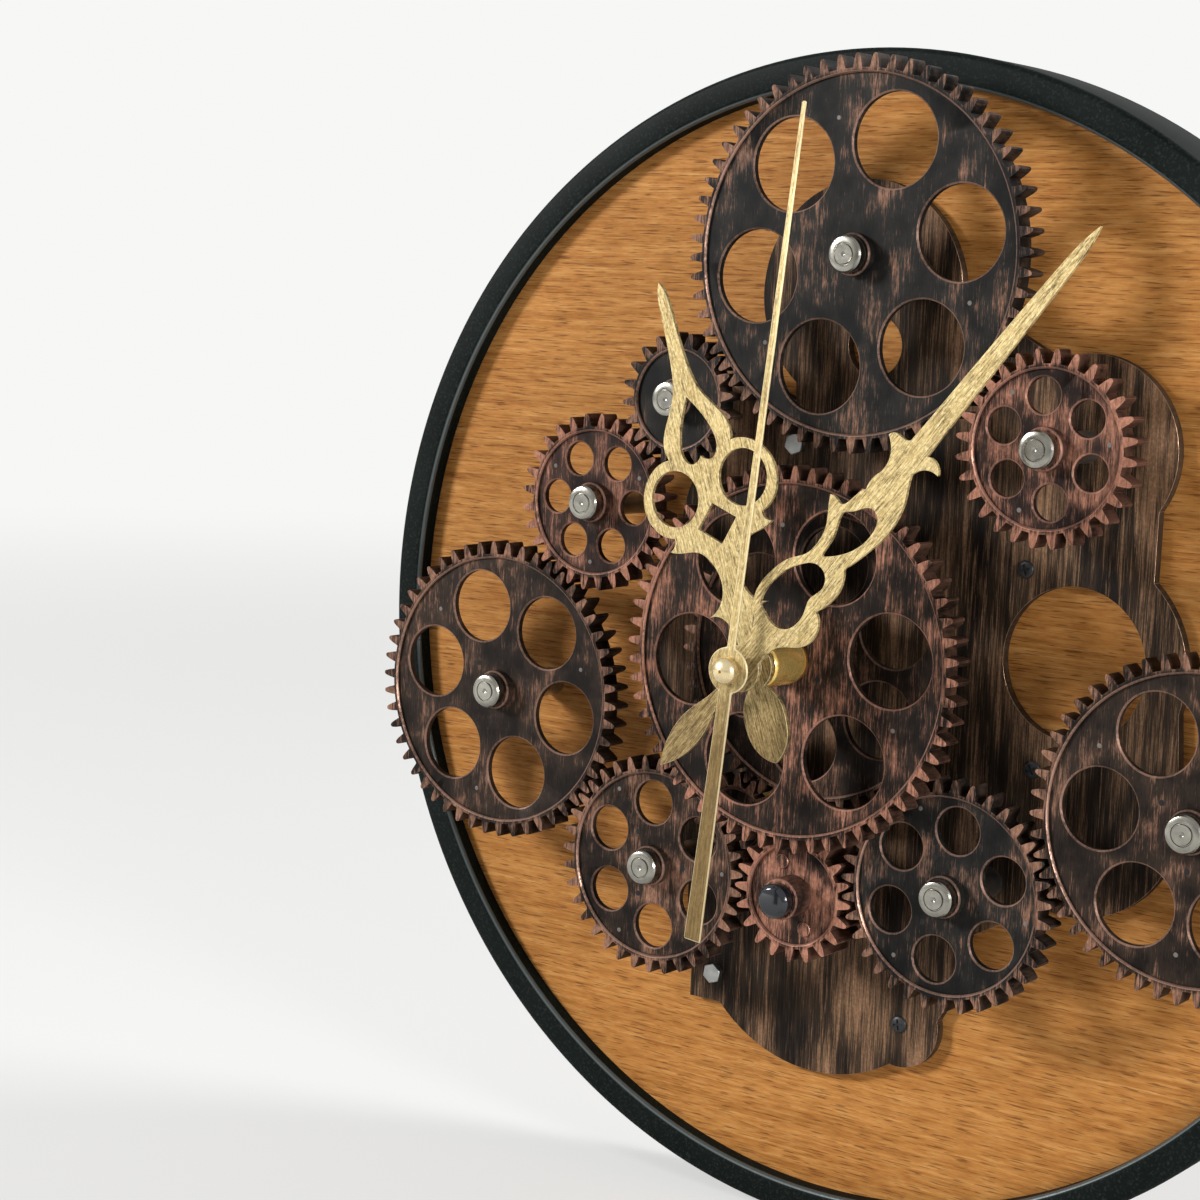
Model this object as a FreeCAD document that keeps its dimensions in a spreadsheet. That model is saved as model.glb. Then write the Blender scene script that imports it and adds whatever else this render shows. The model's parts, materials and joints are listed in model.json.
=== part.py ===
import FreeCAD, Part

import math
import os
import re

import Sketcher
from FreeCAD import Placement, Rotation, Vector

# A round wall clock with moving gears, hung on one nail.
# Frame: the origin is the middle of the keyhole's round entry, in the plane of the wall.
# +Z is up, +X is to the right seen from the front, and the viewer stands at -Y.
# A depth below is a distance in front of the wall, so a depth of 20 lies at y = -20.
# A spot is an (x, z) pair counted from the dial axis, which all three hands turn about.

SIZES = [
    # The ring, the panel and the gear plate
    ("rim_outer_r", 156, "outside of the ring"),
    ("rim_lip_r", 147.6, "inner edge of the ring's front lip"),
    ("rim_depth", 25, "front of the ring to the wall"),
    ("rim_wall", 4.7, "thickness of the ring's side wall behind the lip"),
    ("rim_round", 1.6, "rounding of the ring's edges"),
    ("seat_gap", 0.3, "room between the panel and the ring"),
    ("panel_back", 16, "wall to the back of the panel"),
    ("panel_thick", 4, "wood panel"),
    ("plate_thick", 3, "gear plate"),
    # The wheels
    ("tooth_module", 1.6, "pitch diameter per tooth"),
    ("tooth_rise", 1.6, "pitch circle to tooth tip"),
    ("tooth_drop", 2.0, "pitch circle to tooth root"),
    ("tooth_root_half", 1.3, "half a tooth's width at its root"),
    ("tooth_mid_half", 0.95, "half a tooth's width at the pitch circle"),
    ("tooth_shoulder_half", 0.6, "half a tooth's width where its tip begins to round"),
    ("tooth_tip_half", 0.25, "half a tooth's width at its tip"),
    ("tooth_tip_round", 0.4, "height of the rounded tip"),
    ("centre_extra", 1.0, "extra distance between meshed wheels"),
    ("rim_band", 1.2, "wheel's solid band inside the tooth roots"),
    ("teeth_top", 60, "teeth, top wheel"),
    ("teeth_centre", 60, "teeth, centre wheel"),
    ("teeth_rear", 50, "teeth, rear centre wheel"),
    ("teeth_side", 50, "teeth, left wheel and right wheel"),
    ("teeth_lower", 35, "teeth, lower left wheel and lower right wheel"),
    ("teeth_upper", 28, "teeth, upper left wheel and upper right wheel"),
    ("teeth_small", 20, "teeth, drive pinion and upper left pinion"),
    ("teeth_idler", 14, "teeth, idler pinion"),
    ("wheel_thick", 6, "main wheels and centre wheel"),
    ("rear_thick", 5, "rear centre wheel and idler"),
    ("web_sink", 1, "wheel's front edge to its web"),
    ("web_thick", 2.4, "web between hub and band"),
    ("hub_r", 5.4, "wheel hub"),
    ("hub_rise", 1.5, "hub in front of the wheel's front edge"),
    ("post_height", 17, "plate to the back of the main wheels"),
    ("layer_gap", 1, "main wheels to the centre wheel in front"),
    ("rear_gap", 1.2, "main wheels to the rear layer behind"),
    ("holes_per_wheel", 6, "round holes in a wheel"),
    ("hole_circle_large", 29.8, "circle of holes, 60 teeth"),
    ("hole_r_large", 11.9, "hole, 60 teeth"),
    ("hole_circle_side", 23.9, "circle of holes, 50 teeth"),
    ("hole_r_side", 10, "hole, 50 teeth"),
    ("hole_circle_lower", 16.85, "circle of holes, 35 teeth"),
    ("hole_r_lower", 6, "hole, 35 teeth"),
    ("hole_circle_upper", 12.85, "circle of holes, 28 teeth"),
    ("hole_r_upper", 4.5, "hole, 28 teeth"),
    # Pins, posts and nuts
    ("pin_r", 2.5, "pin that a wheel turns on"),
    ("run_gap", 0.06, "running clearance on a pin or shaft"),
    ("face_gap", 0.3, "room between a turning face and its neighbour"),
    ("pin_head_r", 4.65, "pin head"),
    ("pin_head_thick", 3.4, "pin head"),
    ("pin_chamfer", 0.8, "chamfer on a pin head"),
    ("post_r", 4, "spacer post"),
    ("nut_r", 4.6, "hexagon nut, corner radius"),
    ("nut_thick", 3, "nut behind the panel"),
    ("stud_end", 0.8, "stud that stands out of its nut"),
    # Dial axis
    ("bushing_r", 4, "threaded bushing"),
    ("bushing_bore_r", 3, "bore of the threaded bushing"),
    ("spacer_r", 5.6, "spacer tube on the bushing"),
    ("sleeve_r", 6, "brass sleeve nut"),
    ("sleeve_long", 13, "brass sleeve nut"),
    ("sleeve_bead", 1.2, "turned bead at the end of the sleeve nut"),
    ("hour_tube_r", 2.94, "tube that carries the hour hand"),
    ("minute_tube_r", 1.9, "tube that carries the minute hand"),
    ("second_shaft_r", 0.8, "shaft that carries the second hand"),
    ("hand_thick", 1.2, "hour and minute hand"),
    ("second_thick", 0.8, "second hand"),
    ("hour_hand_back", 67.6, "wall to the back of the hour hand"),
    ("minute_hand_back", 73.4, "wall to the back of the minute hand"),
    ("second_hand_back", 78.8, "wall to the back of the second hand"),
    ("cap_r", 3.4, "domed cap on the second hand"),
    ("cap_rise", 3.6, "height of the domed cap"),
    ("hour_long", 99.8, "hour hand, axis to tip"),
    ("hour_half", 20.4, "hour hand, axis of the hand to the side of a ring"),
    ("hour_tail", 24.8, "hour hand, axis to tail"),
    ("hour_angle", 340.4, "hour hand, clockwise from upright, in degrees"),
    ("minute_long", 142.2, "minute hand, axis to tip"),
    ("minute_half", 10.2, "minute hand, middle line to its widest scroll"),
    ("minute_tail", 35.5, "minute hand, axis to tail"),
    ("minute_angle", 39.4, "minute hand, clockwise from upright, in degrees"),
    ("second_long", 138.5, "second hand, axis to tip"),
    ("second_half", 2.5, "second hand, half the width of its tail"),
    ("second_tail", 69.8, "second hand, axis to tail"),
    ("second_angle", 5.9, "second hand, clockwise from upright, in degrees"),
    ("hand_hub_r", 5.8, "round middle of a hand"),
    # Clock movement behind the panel
    ("movement_side", 56, "square movement case"),
    ("movement_thick", 15.4, "movement case at its battery bay"),
    ("cover_back", 3.4, "wall to the back of the movement's cover"),
    ("case_wall", 1.4, "plastic walls"),
    ("bay_floor", 0.8, "thin plastic wall at a cell"),
    ("bay_share_top", 0.196, "top of the battery bay below the dial axis, as a share of the case's side"),
    ("cell_r", 6.9, "round cell"),
    ("cell_long", 50, "round cell"),
    ("pole_rise", 1.2, "pole of a cell"),
    ("contact_thick", 1.2, "contact plate at a cell's end"),
    ("knob_r", 6, "setting knob"),
    ("knob_thick", 1.7, "setting knob, part outside the cover"),
    ("knob_stem_r", 2.2, "stem of the setting knob"),
    # Gear motor behind the drive pinion
    ("motor_r", 17, "round gearbox case"),
    ("motor_thick", 12.6, "gearbox case with the motor on it"),
    ("motor_can_r", 12, "round motor can on the gearbox"),
    ("motor_can_thick", 6, "motor can"),
    ("motor_ear", 5, "fixing ear, half its width"),
    ("motor_ear_reach", 21.5, "gearbox axis to a fixing screw"),
    ("motor_boss_r", 4.2, "bearing boss of the gearbox"),
    ("drive_shaft_r", 2.5, "motor shaft"),
    ("shaft_cap_r", 4.5, "black cap on the motor shaft"),
    ("shaft_cap_rise", 4, "black cap in front of the drive pinion's boss"),
    ("drive_right", 0.7, "drive pinion, right of the dial axis"),
    ("drive_drop", 62.17, "drive pinion, below the dial axis"),
    ("drive_boss_rise", 6, "drive pinion's boss in front of its teeth"),
    ("rivet_r", 1.9, "small round boss on the drive pinion"),
    ("rivet_reach", 9.2, "drive pinion's axis to a small round boss"),
    ("rivet_rise", 0.5, "height of a small round boss"),
    # Battery box and switch behind the panel
    ("box_wide", 61, "battery box"),
    ("box_high", 35, "battery box"),
    ("box_thick", 15.4, "battery box with its lid"),
    ("switch_wide", 9, "slide switch"),
    ("switch_high", 20, "slide switch"),
    ("switch_thick", 7, "slide switch"),
    ("switch_travel", 4, "travel of the switch slider"),
    ("slider_side", 4, "switch slider"),
    ("slider_rise", 3, "switch slider behind its case"),
    ("wire_r", 0.8, "insulated wire"),
    # Hanger, clips, pads and small screws
    ("hang_height", 130, "dial axis up to the keyhole's entry"),
    ("keyhole_r", 4.5, "round entry of the keyhole"),
    ("keyhole_slot_half", 2, "half the width of the keyhole's slot"),
    ("keyhole_rise", 7, "entry's middle up to the slot's end"),
    ("hanger_wide", 30, "hanger bracket's face"),
    ("hanger_high", 24, "hanger bracket's face"),
    ("hanger_foot", 11, "foot of the hanger bracket"),
    ("sheet_thick", 1.2, "sheet steel of the hanger and the clips"),
    ("screw_r", 1.5, "small screw's shank"),
    ("screw_head_r", 3, "small screw's head"),
    ("screw_head_thick", 1.6, "small screw's head"),
    ("screw_slot_half", 0.4, "half the width of a screw's slot"),
    ("screw_slot_deep", 0.8, "depth of a screw's slot"),
    ("plate_screw_r", 2.3, "head of a plate screw"),
    ("bolt_head_r", 2.9, "head of a silver bolt, corner radius"),
    ("bolt_head_thick", 2, "head of a silver bolt"),
    ("clip_wide", 14, "clip that holds the panel"),
    ("clip_foot", 9, "clip's foot on the panel"),
    ("clip_upright", 8, "clip's upright on the ring"),
    # Gear plate: discs and webs that make its outline, and its holes
    ("plate_low_r", 43, "bottom disc"),
    ("plate_ear_r", 11.5, "small ear at the bottom right"),
    ("plate_corner_half", 8, "square corner at the bottom left, half its side"),
    ("plate_right_r", 28, "right disc"),
    ("plate_ring_r", 30, "ring around the plate's round hole"),
    ("plate_hole_r", 19.5, "plate's round hole"),
    ("plate_upper_r", 24, "upper right disc"),
    ("plate_top_r", 30, "top disc"),
    ("plate_middle_r", 46, "disc behind the centre wheel"),
    ("plate_bolt_r", 10, "disc under a post or bolt near an edge"),
    ("plate_fill_r", 21, "disc between the middle and the upper right disc"),
    ("plate_left_r", 42, "disc behind the left side of the centre wheel"),
    ("plate_left_upper_r", 32, "disc behind the two small upper left wheels"),
    ("plate_window_r", 8, "small round window under the top wheel"),
    ("plate_web", 40, "broad web"),
    ("plate_narrow_web", 30, "web from the top disc to the upper right disc"),
    ("plate_wide_web", 56, "web beside the round hole"),
]
size = {alias: value for alias, value, note in SIZES}

doc = FreeCAD.newDocument("GearClock")
sheet = doc.addObject("Spreadsheet::Sheet", "sizes")
for row, (alias, value, note) in enumerate(SIZES, start=1):
    sheet.set(f"A{row}", alias)
    sheet.set(f"B{row}", str(value))
    sheet.set(f"C{row}", note)
    sheet.setAlias(f"B{row}", alias)
doc.recompute()

# Depths that follow from the sizes, written as formulas of their names
PANEL_FRONT = "(panel_back + panel_thick)"
PLATE_FRONT = "(panel_back + panel_thick + plate_thick)"
MAIN_BACK = f"({PLATE_FRONT} + post_height)"
MAIN_FRONT = f"({MAIN_BACK} + wheel_thick)"
REAR_FRONT = f"({MAIN_BACK} - rear_gap)"
REAR_BACK = f"({REAR_FRONT} - rear_thick)"
CENTRE_BACK = f"({MAIN_FRONT} + layer_gap)"
CENTRE_FRONT = f"({CENTRE_BACK} + wheel_thick)"
WALL = "0"
DIAL_AXIS = (0, 0)
UP_TO_DEPTH = Rotation(Vector(1, 0, 0), -90)

nodes = []


def bind(thing, prop, formula):
    """Ties one property to the sheet. The formula names its cells by their aliases."""
    def cell(word):
        alias = word.group(0)
        return "sizes." + alias if alias in size else alias
    thing.setExpression(prop, re.sub(r"[a-z][a-z_]*", cell, formula))


def place(thing, spot, front, turn=0):
    """Puts a solid at a spot, its front at a depth, turned anticlockwise seen from the front."""
    thing.Placement = Placement(Vector(spot[0], 0, spot[1]), Rotation(Vector(0, 1, 0), -turn) * UP_TO_DEPTH)
    bind(thing, "Placement.Base.y", f"-({front})")
    bind(thing, "Placement.Base.z", f"{spot[1]:.6f} - hang_height")


def node(thing, label):
    """Marks a finished solid as a sub-part of its own."""
    thing.Label = label
    nodes.append(thing)
    return thing


def rod(name, radius, front, back, spot=DIAL_AXIS):
    """A round rod along Y between two depths."""
    solid = doc.addObject("Part::Cylinder", name)
    place(solid, spot, front)
    bind(solid, "Radius", radius)
    bind(solid, "Height", f"({front}) - ({back})")
    return solid


def taper(name, front_radius, back_radius, front, back, spot=DIAL_AXIS):
    """A cone frustum along Y between two depths."""
    solid = doc.addObject("Part::Cone", name)
    place(solid, spot, front)
    bind(solid, "Radius1", front_radius)
    bind(solid, "Radius2", back_radius)
    bind(solid, "Height", f"({front}) - ({back})")
    return solid


def hexagon(name, corner, front, back, spot=DIAL_AXIS, turn=0):
    """A hexagonal prism along Y between two depths."""
    solid = doc.addObject("Part::Prism", name)
    solid.Polygon = 6
    place(solid, spot, front, turn)
    bind(solid, "Circumradius", corner)
    bind(solid, "Height", f"({front}) - ({back})")
    return solid


def block(name, wide, high, front, back, spot=DIAL_AXIS, turn=0):
    """A box between two depths, its middle at a spot, turned anticlockwise."""
    solid = doc.addObject("Part::Box", name)
    angle = Rotation(Vector(0, 1, 0), -turn)
    solid.Placement = Placement(Vector(), angle)
    bind(solid, "Length", wide)
    bind(solid, "Width", f"({front}) - ({back})")
    bind(solid, "Height", high)
    cosine, sine = math.cos(math.radians(turn)), math.sin(math.radians(turn))
    left = f"({wide}) / 2 * {cosine:.9f} - ({high}) / 2 * {sine:.9f}"
    drop = f"({wide}) / 2 * {sine:.9f} + ({high}) / 2 * {cosine:.9f}"
    bind(solid, "Placement.Base.x", f"{spot[0]:.6f} - ({left})")
    bind(solid, "Placement.Base.y", f"-({front})")
    bind(solid, "Placement.Base.z", f"{spot[1]:.6f} - ({drop}) - hang_height")
    return solid


def fuse(name, solids):
    """Joins solids that make one piece."""
    joined = doc.addObject("Part::MultiFuse", name)
    joined.Shapes = solids
    joined.Refine = True
    return joined


def cut(name, base, tools):
    """Takes one or more tools away from a solid."""
    tool = tools[0] if len(tools) == 1 else fuse(name + "_tools", tools)
    rest = doc.addObject("Part::Cut", name)
    rest.Base = base
    rest.Tool = tool
    return rest


def group(label, solids):
    """Gathers like pieces that stay separate solids in one node."""
    together = doc.addObject("Part::Compound", label)
    together.Links = solids
    return node(together, label)


def on_arc(radius, angle, centre=DIAL_AXIS):
    """A spot at an angle, anticlockwise from the right, on a circle."""
    turn = math.radians(angle)
    return (centre[0] + radius * math.cos(turn), centre[1] + radius * math.sin(turn))


# Sketches: every point's two coordinates are formulas, so the outline follows the sheet.
# A sketch starts at a rough size, and its formulas then give it the right one.
ROUGH = size["tooth_module"]

def origin_plane(body, role):
    return next(feature for feature in body.Origin.OriginFeatures if feature.Role == role)


def new_body(label, spot, back, turn=0):
    """A body whose front-view sketches lie at a depth and grow towards the viewer."""
    body = doc.addObject("PartDesign::Body", label)
    body.Placement = Placement(Vector(spot[0], 0, spot[1]), Rotation(Vector(0, 1, 0), -turn))
    bind(body, "Placement.Base.y", f"-({back})")
    bind(body, "Placement.Base.z", f"{spot[1]:.6f} - hang_height")
    return body


def new_sketch(body, name, role="XZ_Plane", lift="0", turn=0):
    sketch = body.newObject("Sketcher::SketchObject", name)
    sketch.AttachmentSupport = [(origin_plane(body, role), "")]
    sketch.MapMode = "FlatFace"
    sketch.AttachmentOffset = Placement(Vector(), Rotation(Vector(0, 0, 1), turn))
    bind(sketch, "AttachmentOffset.Base.z", lift)
    return sketch


def named_constraint(sketch, constraint, name, formula):
    number = sketch.addConstraint(constraint)
    sketch.renameConstraint(number, name)
    bind(sketch, "Constraints." + name, formula)


def add_circle(sketch, name, radius, reach="0"):
    """A circle whose middle lies on the sketch's first axis."""
    start = Vector(0 if reach == "0" else ROUGH, 0, 0)
    circle = sketch.addGeometry(Part.Circle(start, Vector(0, 0, 1), ROUGH), False)
    if reach == "0":
        sketch.addConstraint(Sketcher.Constraint("Coincident", circle, 3, -1, 1))
    else:
        sketch.addConstraint(Sketcher.Constraint("PointOnObject", circle, 3, -1))
        named_constraint(sketch, Sketcher.Constraint("DistanceX", -1, 1, circle, 3, ROUGH), name + "_reach", reach)
    named_constraint(sketch, Sketcher.Constraint("Radius", circle, ROUGH), name, radius)


def add_outline(sketch, points):
    """A closed outline of straight lines through points given as pairs of formulas."""
    count = len(points)
    start = [Vector(*on_arc(ROUGH, 360 * number / count), 0) for number in range(count)]
    lines = [sketch.addGeometry(Part.LineSegment(start[number], start[(number + 1) % count]), False)
             for number in range(count)]
    for number, line in enumerate(lines):
        sketch.addConstraint(Sketcher.Constraint("Coincident", line, 2, lines[(number + 1) % count], 1))
    for number, (across, along) in enumerate(points):
        if across == "0":
            sketch.addConstraint(Sketcher.Constraint("PointOnObject", lines[number], 1, -2))
        else:
            rule = Sketcher.Constraint("DistanceX", -1, 1, lines[number], 1, start[number].x)
            named_constraint(sketch, rule, f"across{chr(97 + number)}", across)
        if along == "0":
            sketch.addConstraint(Sketcher.Constraint("PointOnObject", lines[number], 1, -1))
        else:
            rule = Sketcher.Constraint("DistanceY", -1, 1, lines[number], 1, start[number].y)
            named_constraint(sketch, rule, f"along{chr(97 + number)}", along)


def pad(body, name, sketch, length):
    feature = body.newObject("PartDesign::Pad", name)
    feature.Profile = sketch
    bind(feature, "Length", length)
    return feature


def polar(body, name, feature, sketch, count):
    """Repeats a feature around the sketch's own axis."""
    pattern = body.newObject("PartDesign::PolarPattern", name)
    pattern.Originals = [feature]
    pattern.Axis = (sketch, ["N_Axis"])
    pattern.Angle = 360
    bind(pattern, "Occurrences", count)
    body.Tip = pattern
    return pattern


# Wheels: the circle and radius of the round holes, by the cell that gives the teeth
WHEEL_HOLES = {
    "teeth_top": ("hole_circle_large", "hole_r_large"),
    "teeth_centre": ("hole_circle_large", "hole_r_large"),
    "teeth_rear": ("hole_circle_side", "hole_r_side"),
    "teeth_side": ("hole_circle_side", "hole_r_side"),
    "teeth_lower": ("hole_circle_lower", "hole_r_lower"),
    "teeth_upper": ("hole_circle_upper", "hole_r_upper"),
}


def pitch_r(teeth):
    return size["tooth_module"] * size[teeth] / 2


def mesh_distance(teeth, other):
    return pitch_r(teeth) + pitch_r(other) + size["centre_extra"]


def toothed_wheel(label, gear, back, thick, bore, hub="0", angle=None):
    """A toothed wheel: band with teeth, sunk web and hub.

    The gear gives its teeth, spot and phase, which is the angle of one tooth. An angle for
    the first round hole opens the web. A wheel without one has a web right to its back.
    The hub reaches from the back to a height, and zero leaves it out.
    """
    teeth = gear["teeth"]
    body = new_body(label, gear["spot"], back, gear["phase"])
    pitch = f"tooth_module * {teeth} / 2"
    root = f"({pitch} - tooth_drop)"
    tip = f"({pitch} + tooth_rise)"

    band_sketch = new_sketch(body, label + "_band")
    add_circle(band_sketch, "root", root)
    add_circle(band_sketch, "band", f"{root} - rim_band")
    pad(body, label + "_band_pad", band_sketch, thick)

    tooth_sketch = new_sketch(body, label + "_tooth")
    inside = f"{root} - rim_band / 2"
    shoulder = f"{tip} - tooth_tip_round"
    flank = [(inside, "tooth_root_half"), (root, "tooth_root_half"), (pitch, "tooth_mid_half"),
             (shoulder, "tooth_shoulder_half"), (tip, "tooth_tip_half")]
    add_outline(tooth_sketch, [(along, "-" + half) for along, half in flank] + flank[::-1])
    tooth = pad(body, label + "_tooth_pad", tooth_sketch, thick)
    polar(body, label + "_teeth", tooth, tooth_sketch, teeth)

    web = "web_thick" if angle is not None else f"({thick} - web_sink)"
    web_sketch = new_sketch(body, label + "_web", lift=f"{thick} - web_sink - {web}")
    add_circle(web_sketch, "web", inside)
    add_circle(web_sketch, "bore", bore)
    body.Tip = pad(body, label + "_web_pad", web_sketch, web)

    if angle is not None:
        hole_circle, hole_radius = WHEEL_HOLES[teeth]
        hole_sketch = new_sketch(body, label + "_hole", lift=f"{thick} - web_sink", turn=angle - gear["phase"])
        add_circle(hole_sketch, "hole", hole_radius, hole_circle)
        hole = body.newObject("PartDesign::Pocket", label + "_hole_cut")
        hole.Profile = hole_sketch
        bind(hole, "Length", "web_thick")
        polar(body, label + "_holes", hole, hole_sketch, "holes_per_wheel")

    if hub != "0":
        hub_sketch = new_sketch(body, label + "_hub")
        add_circle(hub_sketch, "hub", "hub_r")
        add_circle(hub_sketch, "bore", bore)
        body.Tip = pad(body, label + "_hub_pad", hub_sketch, hub)
    return node(body, label)


# The train: each wheel hangs on the one before it by a mesh distance and a bearing,
# and its teeth stand in the other's gaps

def meshed(first, other_teeth, bearing):
    """Spot and phase of a wheel that meshes with a placed one at a bearing."""
    spot = on_arc(mesh_distance(first["teeth"], other_teeth), bearing, first["spot"])
    return {"teeth": other_teeth, "spot": spot, "phase": mesh_phase(first, other_teeth, bearing)}


def mesh_phase(first, other_teeth, bearing):
    pitch_angle = 360 / size[first["teeth"]]
    share = ((bearing - first["phase"]) / pitch_angle) % 1
    return bearing + 180 - (0.5 - share) * 360 / size[other_teeth]


def bearing_of(start, end):
    return math.degrees(math.atan2(end[1] - start[1], end[0] - start[0]))


def meeting(first, first_reach, second, second_reach):
    """The left one of the two spots at given distances from two others."""
    gap = math.dist(first, second)
    along = (gap ** 2 + first_reach ** 2 - second_reach ** 2) / (2 * gap)
    aside = math.sqrt(first_reach ** 2 - along ** 2)
    one_x, one_z = (second[0] - first[0]) / gap, (second[1] - first[1]) / gap
    return (first[0] + along * one_x + aside * one_z, first[1] + along * one_z - aside * one_x)


# Name, the wheel before it, its teeth, and the bearing in degrees from that wheel
TRAIN = [
    ("lower_left", "drive", "teeth_lower", 179.27),
    ("left", "lower_left", "teeth_side", 143.57),
    ("upper_left", "left", "teeth_upper", 60.52),
    ("upper_left_small", "upper_left", "teeth_small", 48.16),
    ("top", "upper_left_small", "teeth_top", 36.76),
    ("upper_right", "top", "teeth_upper", -38.86),
    ("lower_right", "drive", "teeth_lower", 9.71),
    ("right", "lower_right", "teeth_side", 22.62),
]
gears = {"drive": {"teeth": "teeth_small", "spot": (size["drive_right"], -size["drive_drop"]), "phase": 0}}
for name, before, teeth, bearing in TRAIN:
    gears[name] = meshed(gears[before], teeth, bearing)

# The idler joins the drive pinion to the rear centre wheel, on the dial axis's left
idler_spot = meeting(DIAL_AXIS, mesh_distance("teeth_rear", "teeth_idler"),
                     gears["drive"]["spot"], mesh_distance("teeth_small", "teeth_idler"))
gears["idler"] = {
    "teeth": "teeth_idler",
    "spot": idler_spot,
    "phase": mesh_phase(gears["drive"], "teeth_idler", bearing_of(gears["drive"]["spot"], idler_spot)),
}
gears["rear"] = {
    "teeth": "teeth_rear",
    "spot": DIAL_AXIS,
    "phase": mesh_phase(gears["idler"], "teeth_rear", bearing_of(idler_spot, DIAL_AXIS)),
}
gears["centre"] = {"teeth": "teeth_centre", "spot": DIAL_AXIS, "phase": 0}

# Node, gear and the angle of its first round hole, for the wheels that turn on pins
PIN_WHEELS = [
    ("top_wheel", "top", 11.6),
    ("upper_right_wheel", "upper_right", 37.3),
    ("right_wheel", "right", 56),
    ("lower_right_wheel", "lower_right", 22),
    ("lower_left_wheel", "lower_left", 32.6),
    ("left_wheel", "left", 47.2),
    ("upper_left_wheel", "upper_left", 57.2),
    ("upper_left_pinion", "upper_left_small", None),
]
# Wheels whose posts stand on the panel, beside the plate
OFF_PLATE = ("left", "upper_left")
CENTRE_HOLES_ANGLE = 6
REAR_HOLES_ANGLE = 22
RIVET_ANGLE = 114

pin_hole = "pin_r + run_gap"
for label, name, angle in PIN_WHEELS:
    toothed_wheel(label, gears[name], MAIN_BACK, "wheel_thick", pin_hole, "wheel_thick + hub_rise", angle)


def pivot_pin(name, spot):
    """A headed stud: it passes through wheel, post, plate and panel into its nut."""
    neck = f"{MAIN_FRONT} + hub_rise + face_gap"
    head = f"{neck} + pin_head_thick"
    end = "panel_back - nut_thick - stud_end"
    shank = rod(name + "_shank", "pin_r", neck, end, spot)
    rim = rod(name + "_rim", "pin_head_r", f"{head} - pin_chamfer", neck, spot)
    crown = taper(name + "_crown", "pin_head_r - pin_chamfer", "pin_head_r", head, f"{head} - pin_chamfer", spot)
    return fuse(name, [shank, rim, crown])


def pivot_post(name, spot, foot):
    tube = rod(name + "_tube", "post_r", f"{MAIN_BACK} - face_gap", foot, spot)
    bore = rod(name + "_bore", pin_hole, f"{MAIN_BACK} - face_gap", foot, spot)
    return cut(name, tube, [bore])


def stud_nut(name, spot):
    body = hexagon(name + "_body", "nut_r", "panel_back", "panel_back - nut_thick", spot)
    bore = rod(name + "_bore", "pin_r", "panel_back", "panel_back - nut_thick", spot)
    return cut(name, body, [bore])


pin_names = [name for label, name, angle in PIN_WHEELS]
group("pivot_pins", [pivot_pin("pin_" + name, gears[name]["spot"]) for name in pin_names])
group("pivot_posts", [
    pivot_post("post_" + name, gears[name]["spot"], PANEL_FRONT if name in OFF_PLATE else PLATE_FRONT)
    for name in pin_names
])
group("pivot_nuts", [stud_nut("nut_" + name, gears[name]["spot"]) for name in pin_names])

# Centre wheels: two wheels pressed on one tube, which turns on the threaded bushing
toothed_wheel("centre_wheel", gears["centre"], CENTRE_BACK, "wheel_thick", "hub_r", angle=CENTRE_HOLES_ANGLE)
toothed_wheel("centre_wheel_rear", gears["rear"], REAR_BACK, "rear_thick", "hub_r", angle=REAR_HOLES_ANGLE)
centre_tube = rod("centre_tube_outside", "hub_r", CENTRE_FRONT, REAR_BACK)
centre_bore = rod("centre_tube_bore", "bushing_r + run_gap", CENTRE_FRONT, REAR_BACK)
node(cut("centre_tube_cut", centre_tube, [centre_bore]), "centre_tube")

# Drive pinion on the motor shaft: long teeth that reach both layers, a boss and two rivets
drive_thick = f"({MAIN_FRONT} - {REAR_BACK})"
toothed_wheel("drive_pinion", gears["drive"], REAR_BACK, drive_thick, "drive_shaft_r",
              f"{drive_thick} + drive_boss_rise")
rivet_back = f"{MAIN_FRONT} - web_sink"
group("drive_rivets", [
    rod(f"drive_rivet_{side}", "rivet_r", f"{rivet_back} + rivet_rise", rivet_back,
        on_arc(size["rivet_reach"], RIVET_ANGLE + turn, gears["drive"]["spot"]))
    for side, turn in (("upper", 0), ("lower", 180))
])

# Idler: its axle is one with it and turns in a blind bush that stands on the plate
toothed_wheel("idler_pinion", gears["idler"], REAR_BACK, "rear_thick", "pin_r")
bush_top = f"({REAR_BACK} - face_gap)"
bush_bottom = f"({PLATE_FRONT} + sheet_thick)"
node(rod("idler_axle", "pin_r", f"{REAR_FRONT} - web_sink", f"{bush_bottom} + face_gap", idler_spot), "idler_axle")
bush_outside = rod("idler_bush_outside", "hub_r", bush_top, PLATE_FRONT, idler_spot)
bush_bore = rod("idler_bush_bore", pin_hole, bush_top, bush_bottom, idler_spot)
node(cut("idler_bush_cut", bush_outside, [bush_bore]), "idler_bush")

# Ring: a turned profile, each point a depth and a radius
ring = new_body("rim_ring", DIAL_AXIS, WALL)
profile = new_sketch(ring, "rim_profile", "YZ_Plane")
side_inner = "rim_outer_r - rim_wall"
add_outline(profile, [
    ("0", "rim_outer_r - rim_round / 2"),
    ("-rim_round / 2", "rim_outer_r"),
    ("-(rim_depth - rim_round)", "rim_outer_r"),
    ("-(rim_depth - rim_round / 4)", "rim_outer_r - rim_round / 4"),
    ("-rim_depth", "rim_outer_r - rim_round"),
    ("-rim_depth", "rim_lip_r + rim_round"),
    ("-(rim_depth - rim_round / 4)", "rim_lip_r + rim_round / 4"),
    ("-(rim_depth - rim_round)", "rim_lip_r"),
    (f"-{PANEL_FRONT}", "rim_lip_r"),
    (f"-{PANEL_FRONT}", side_inner),
    ("0", side_inner),
])
turned = ring.newObject("PartDesign::Revolution", "rim_turned")
turned.Profile = profile
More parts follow.
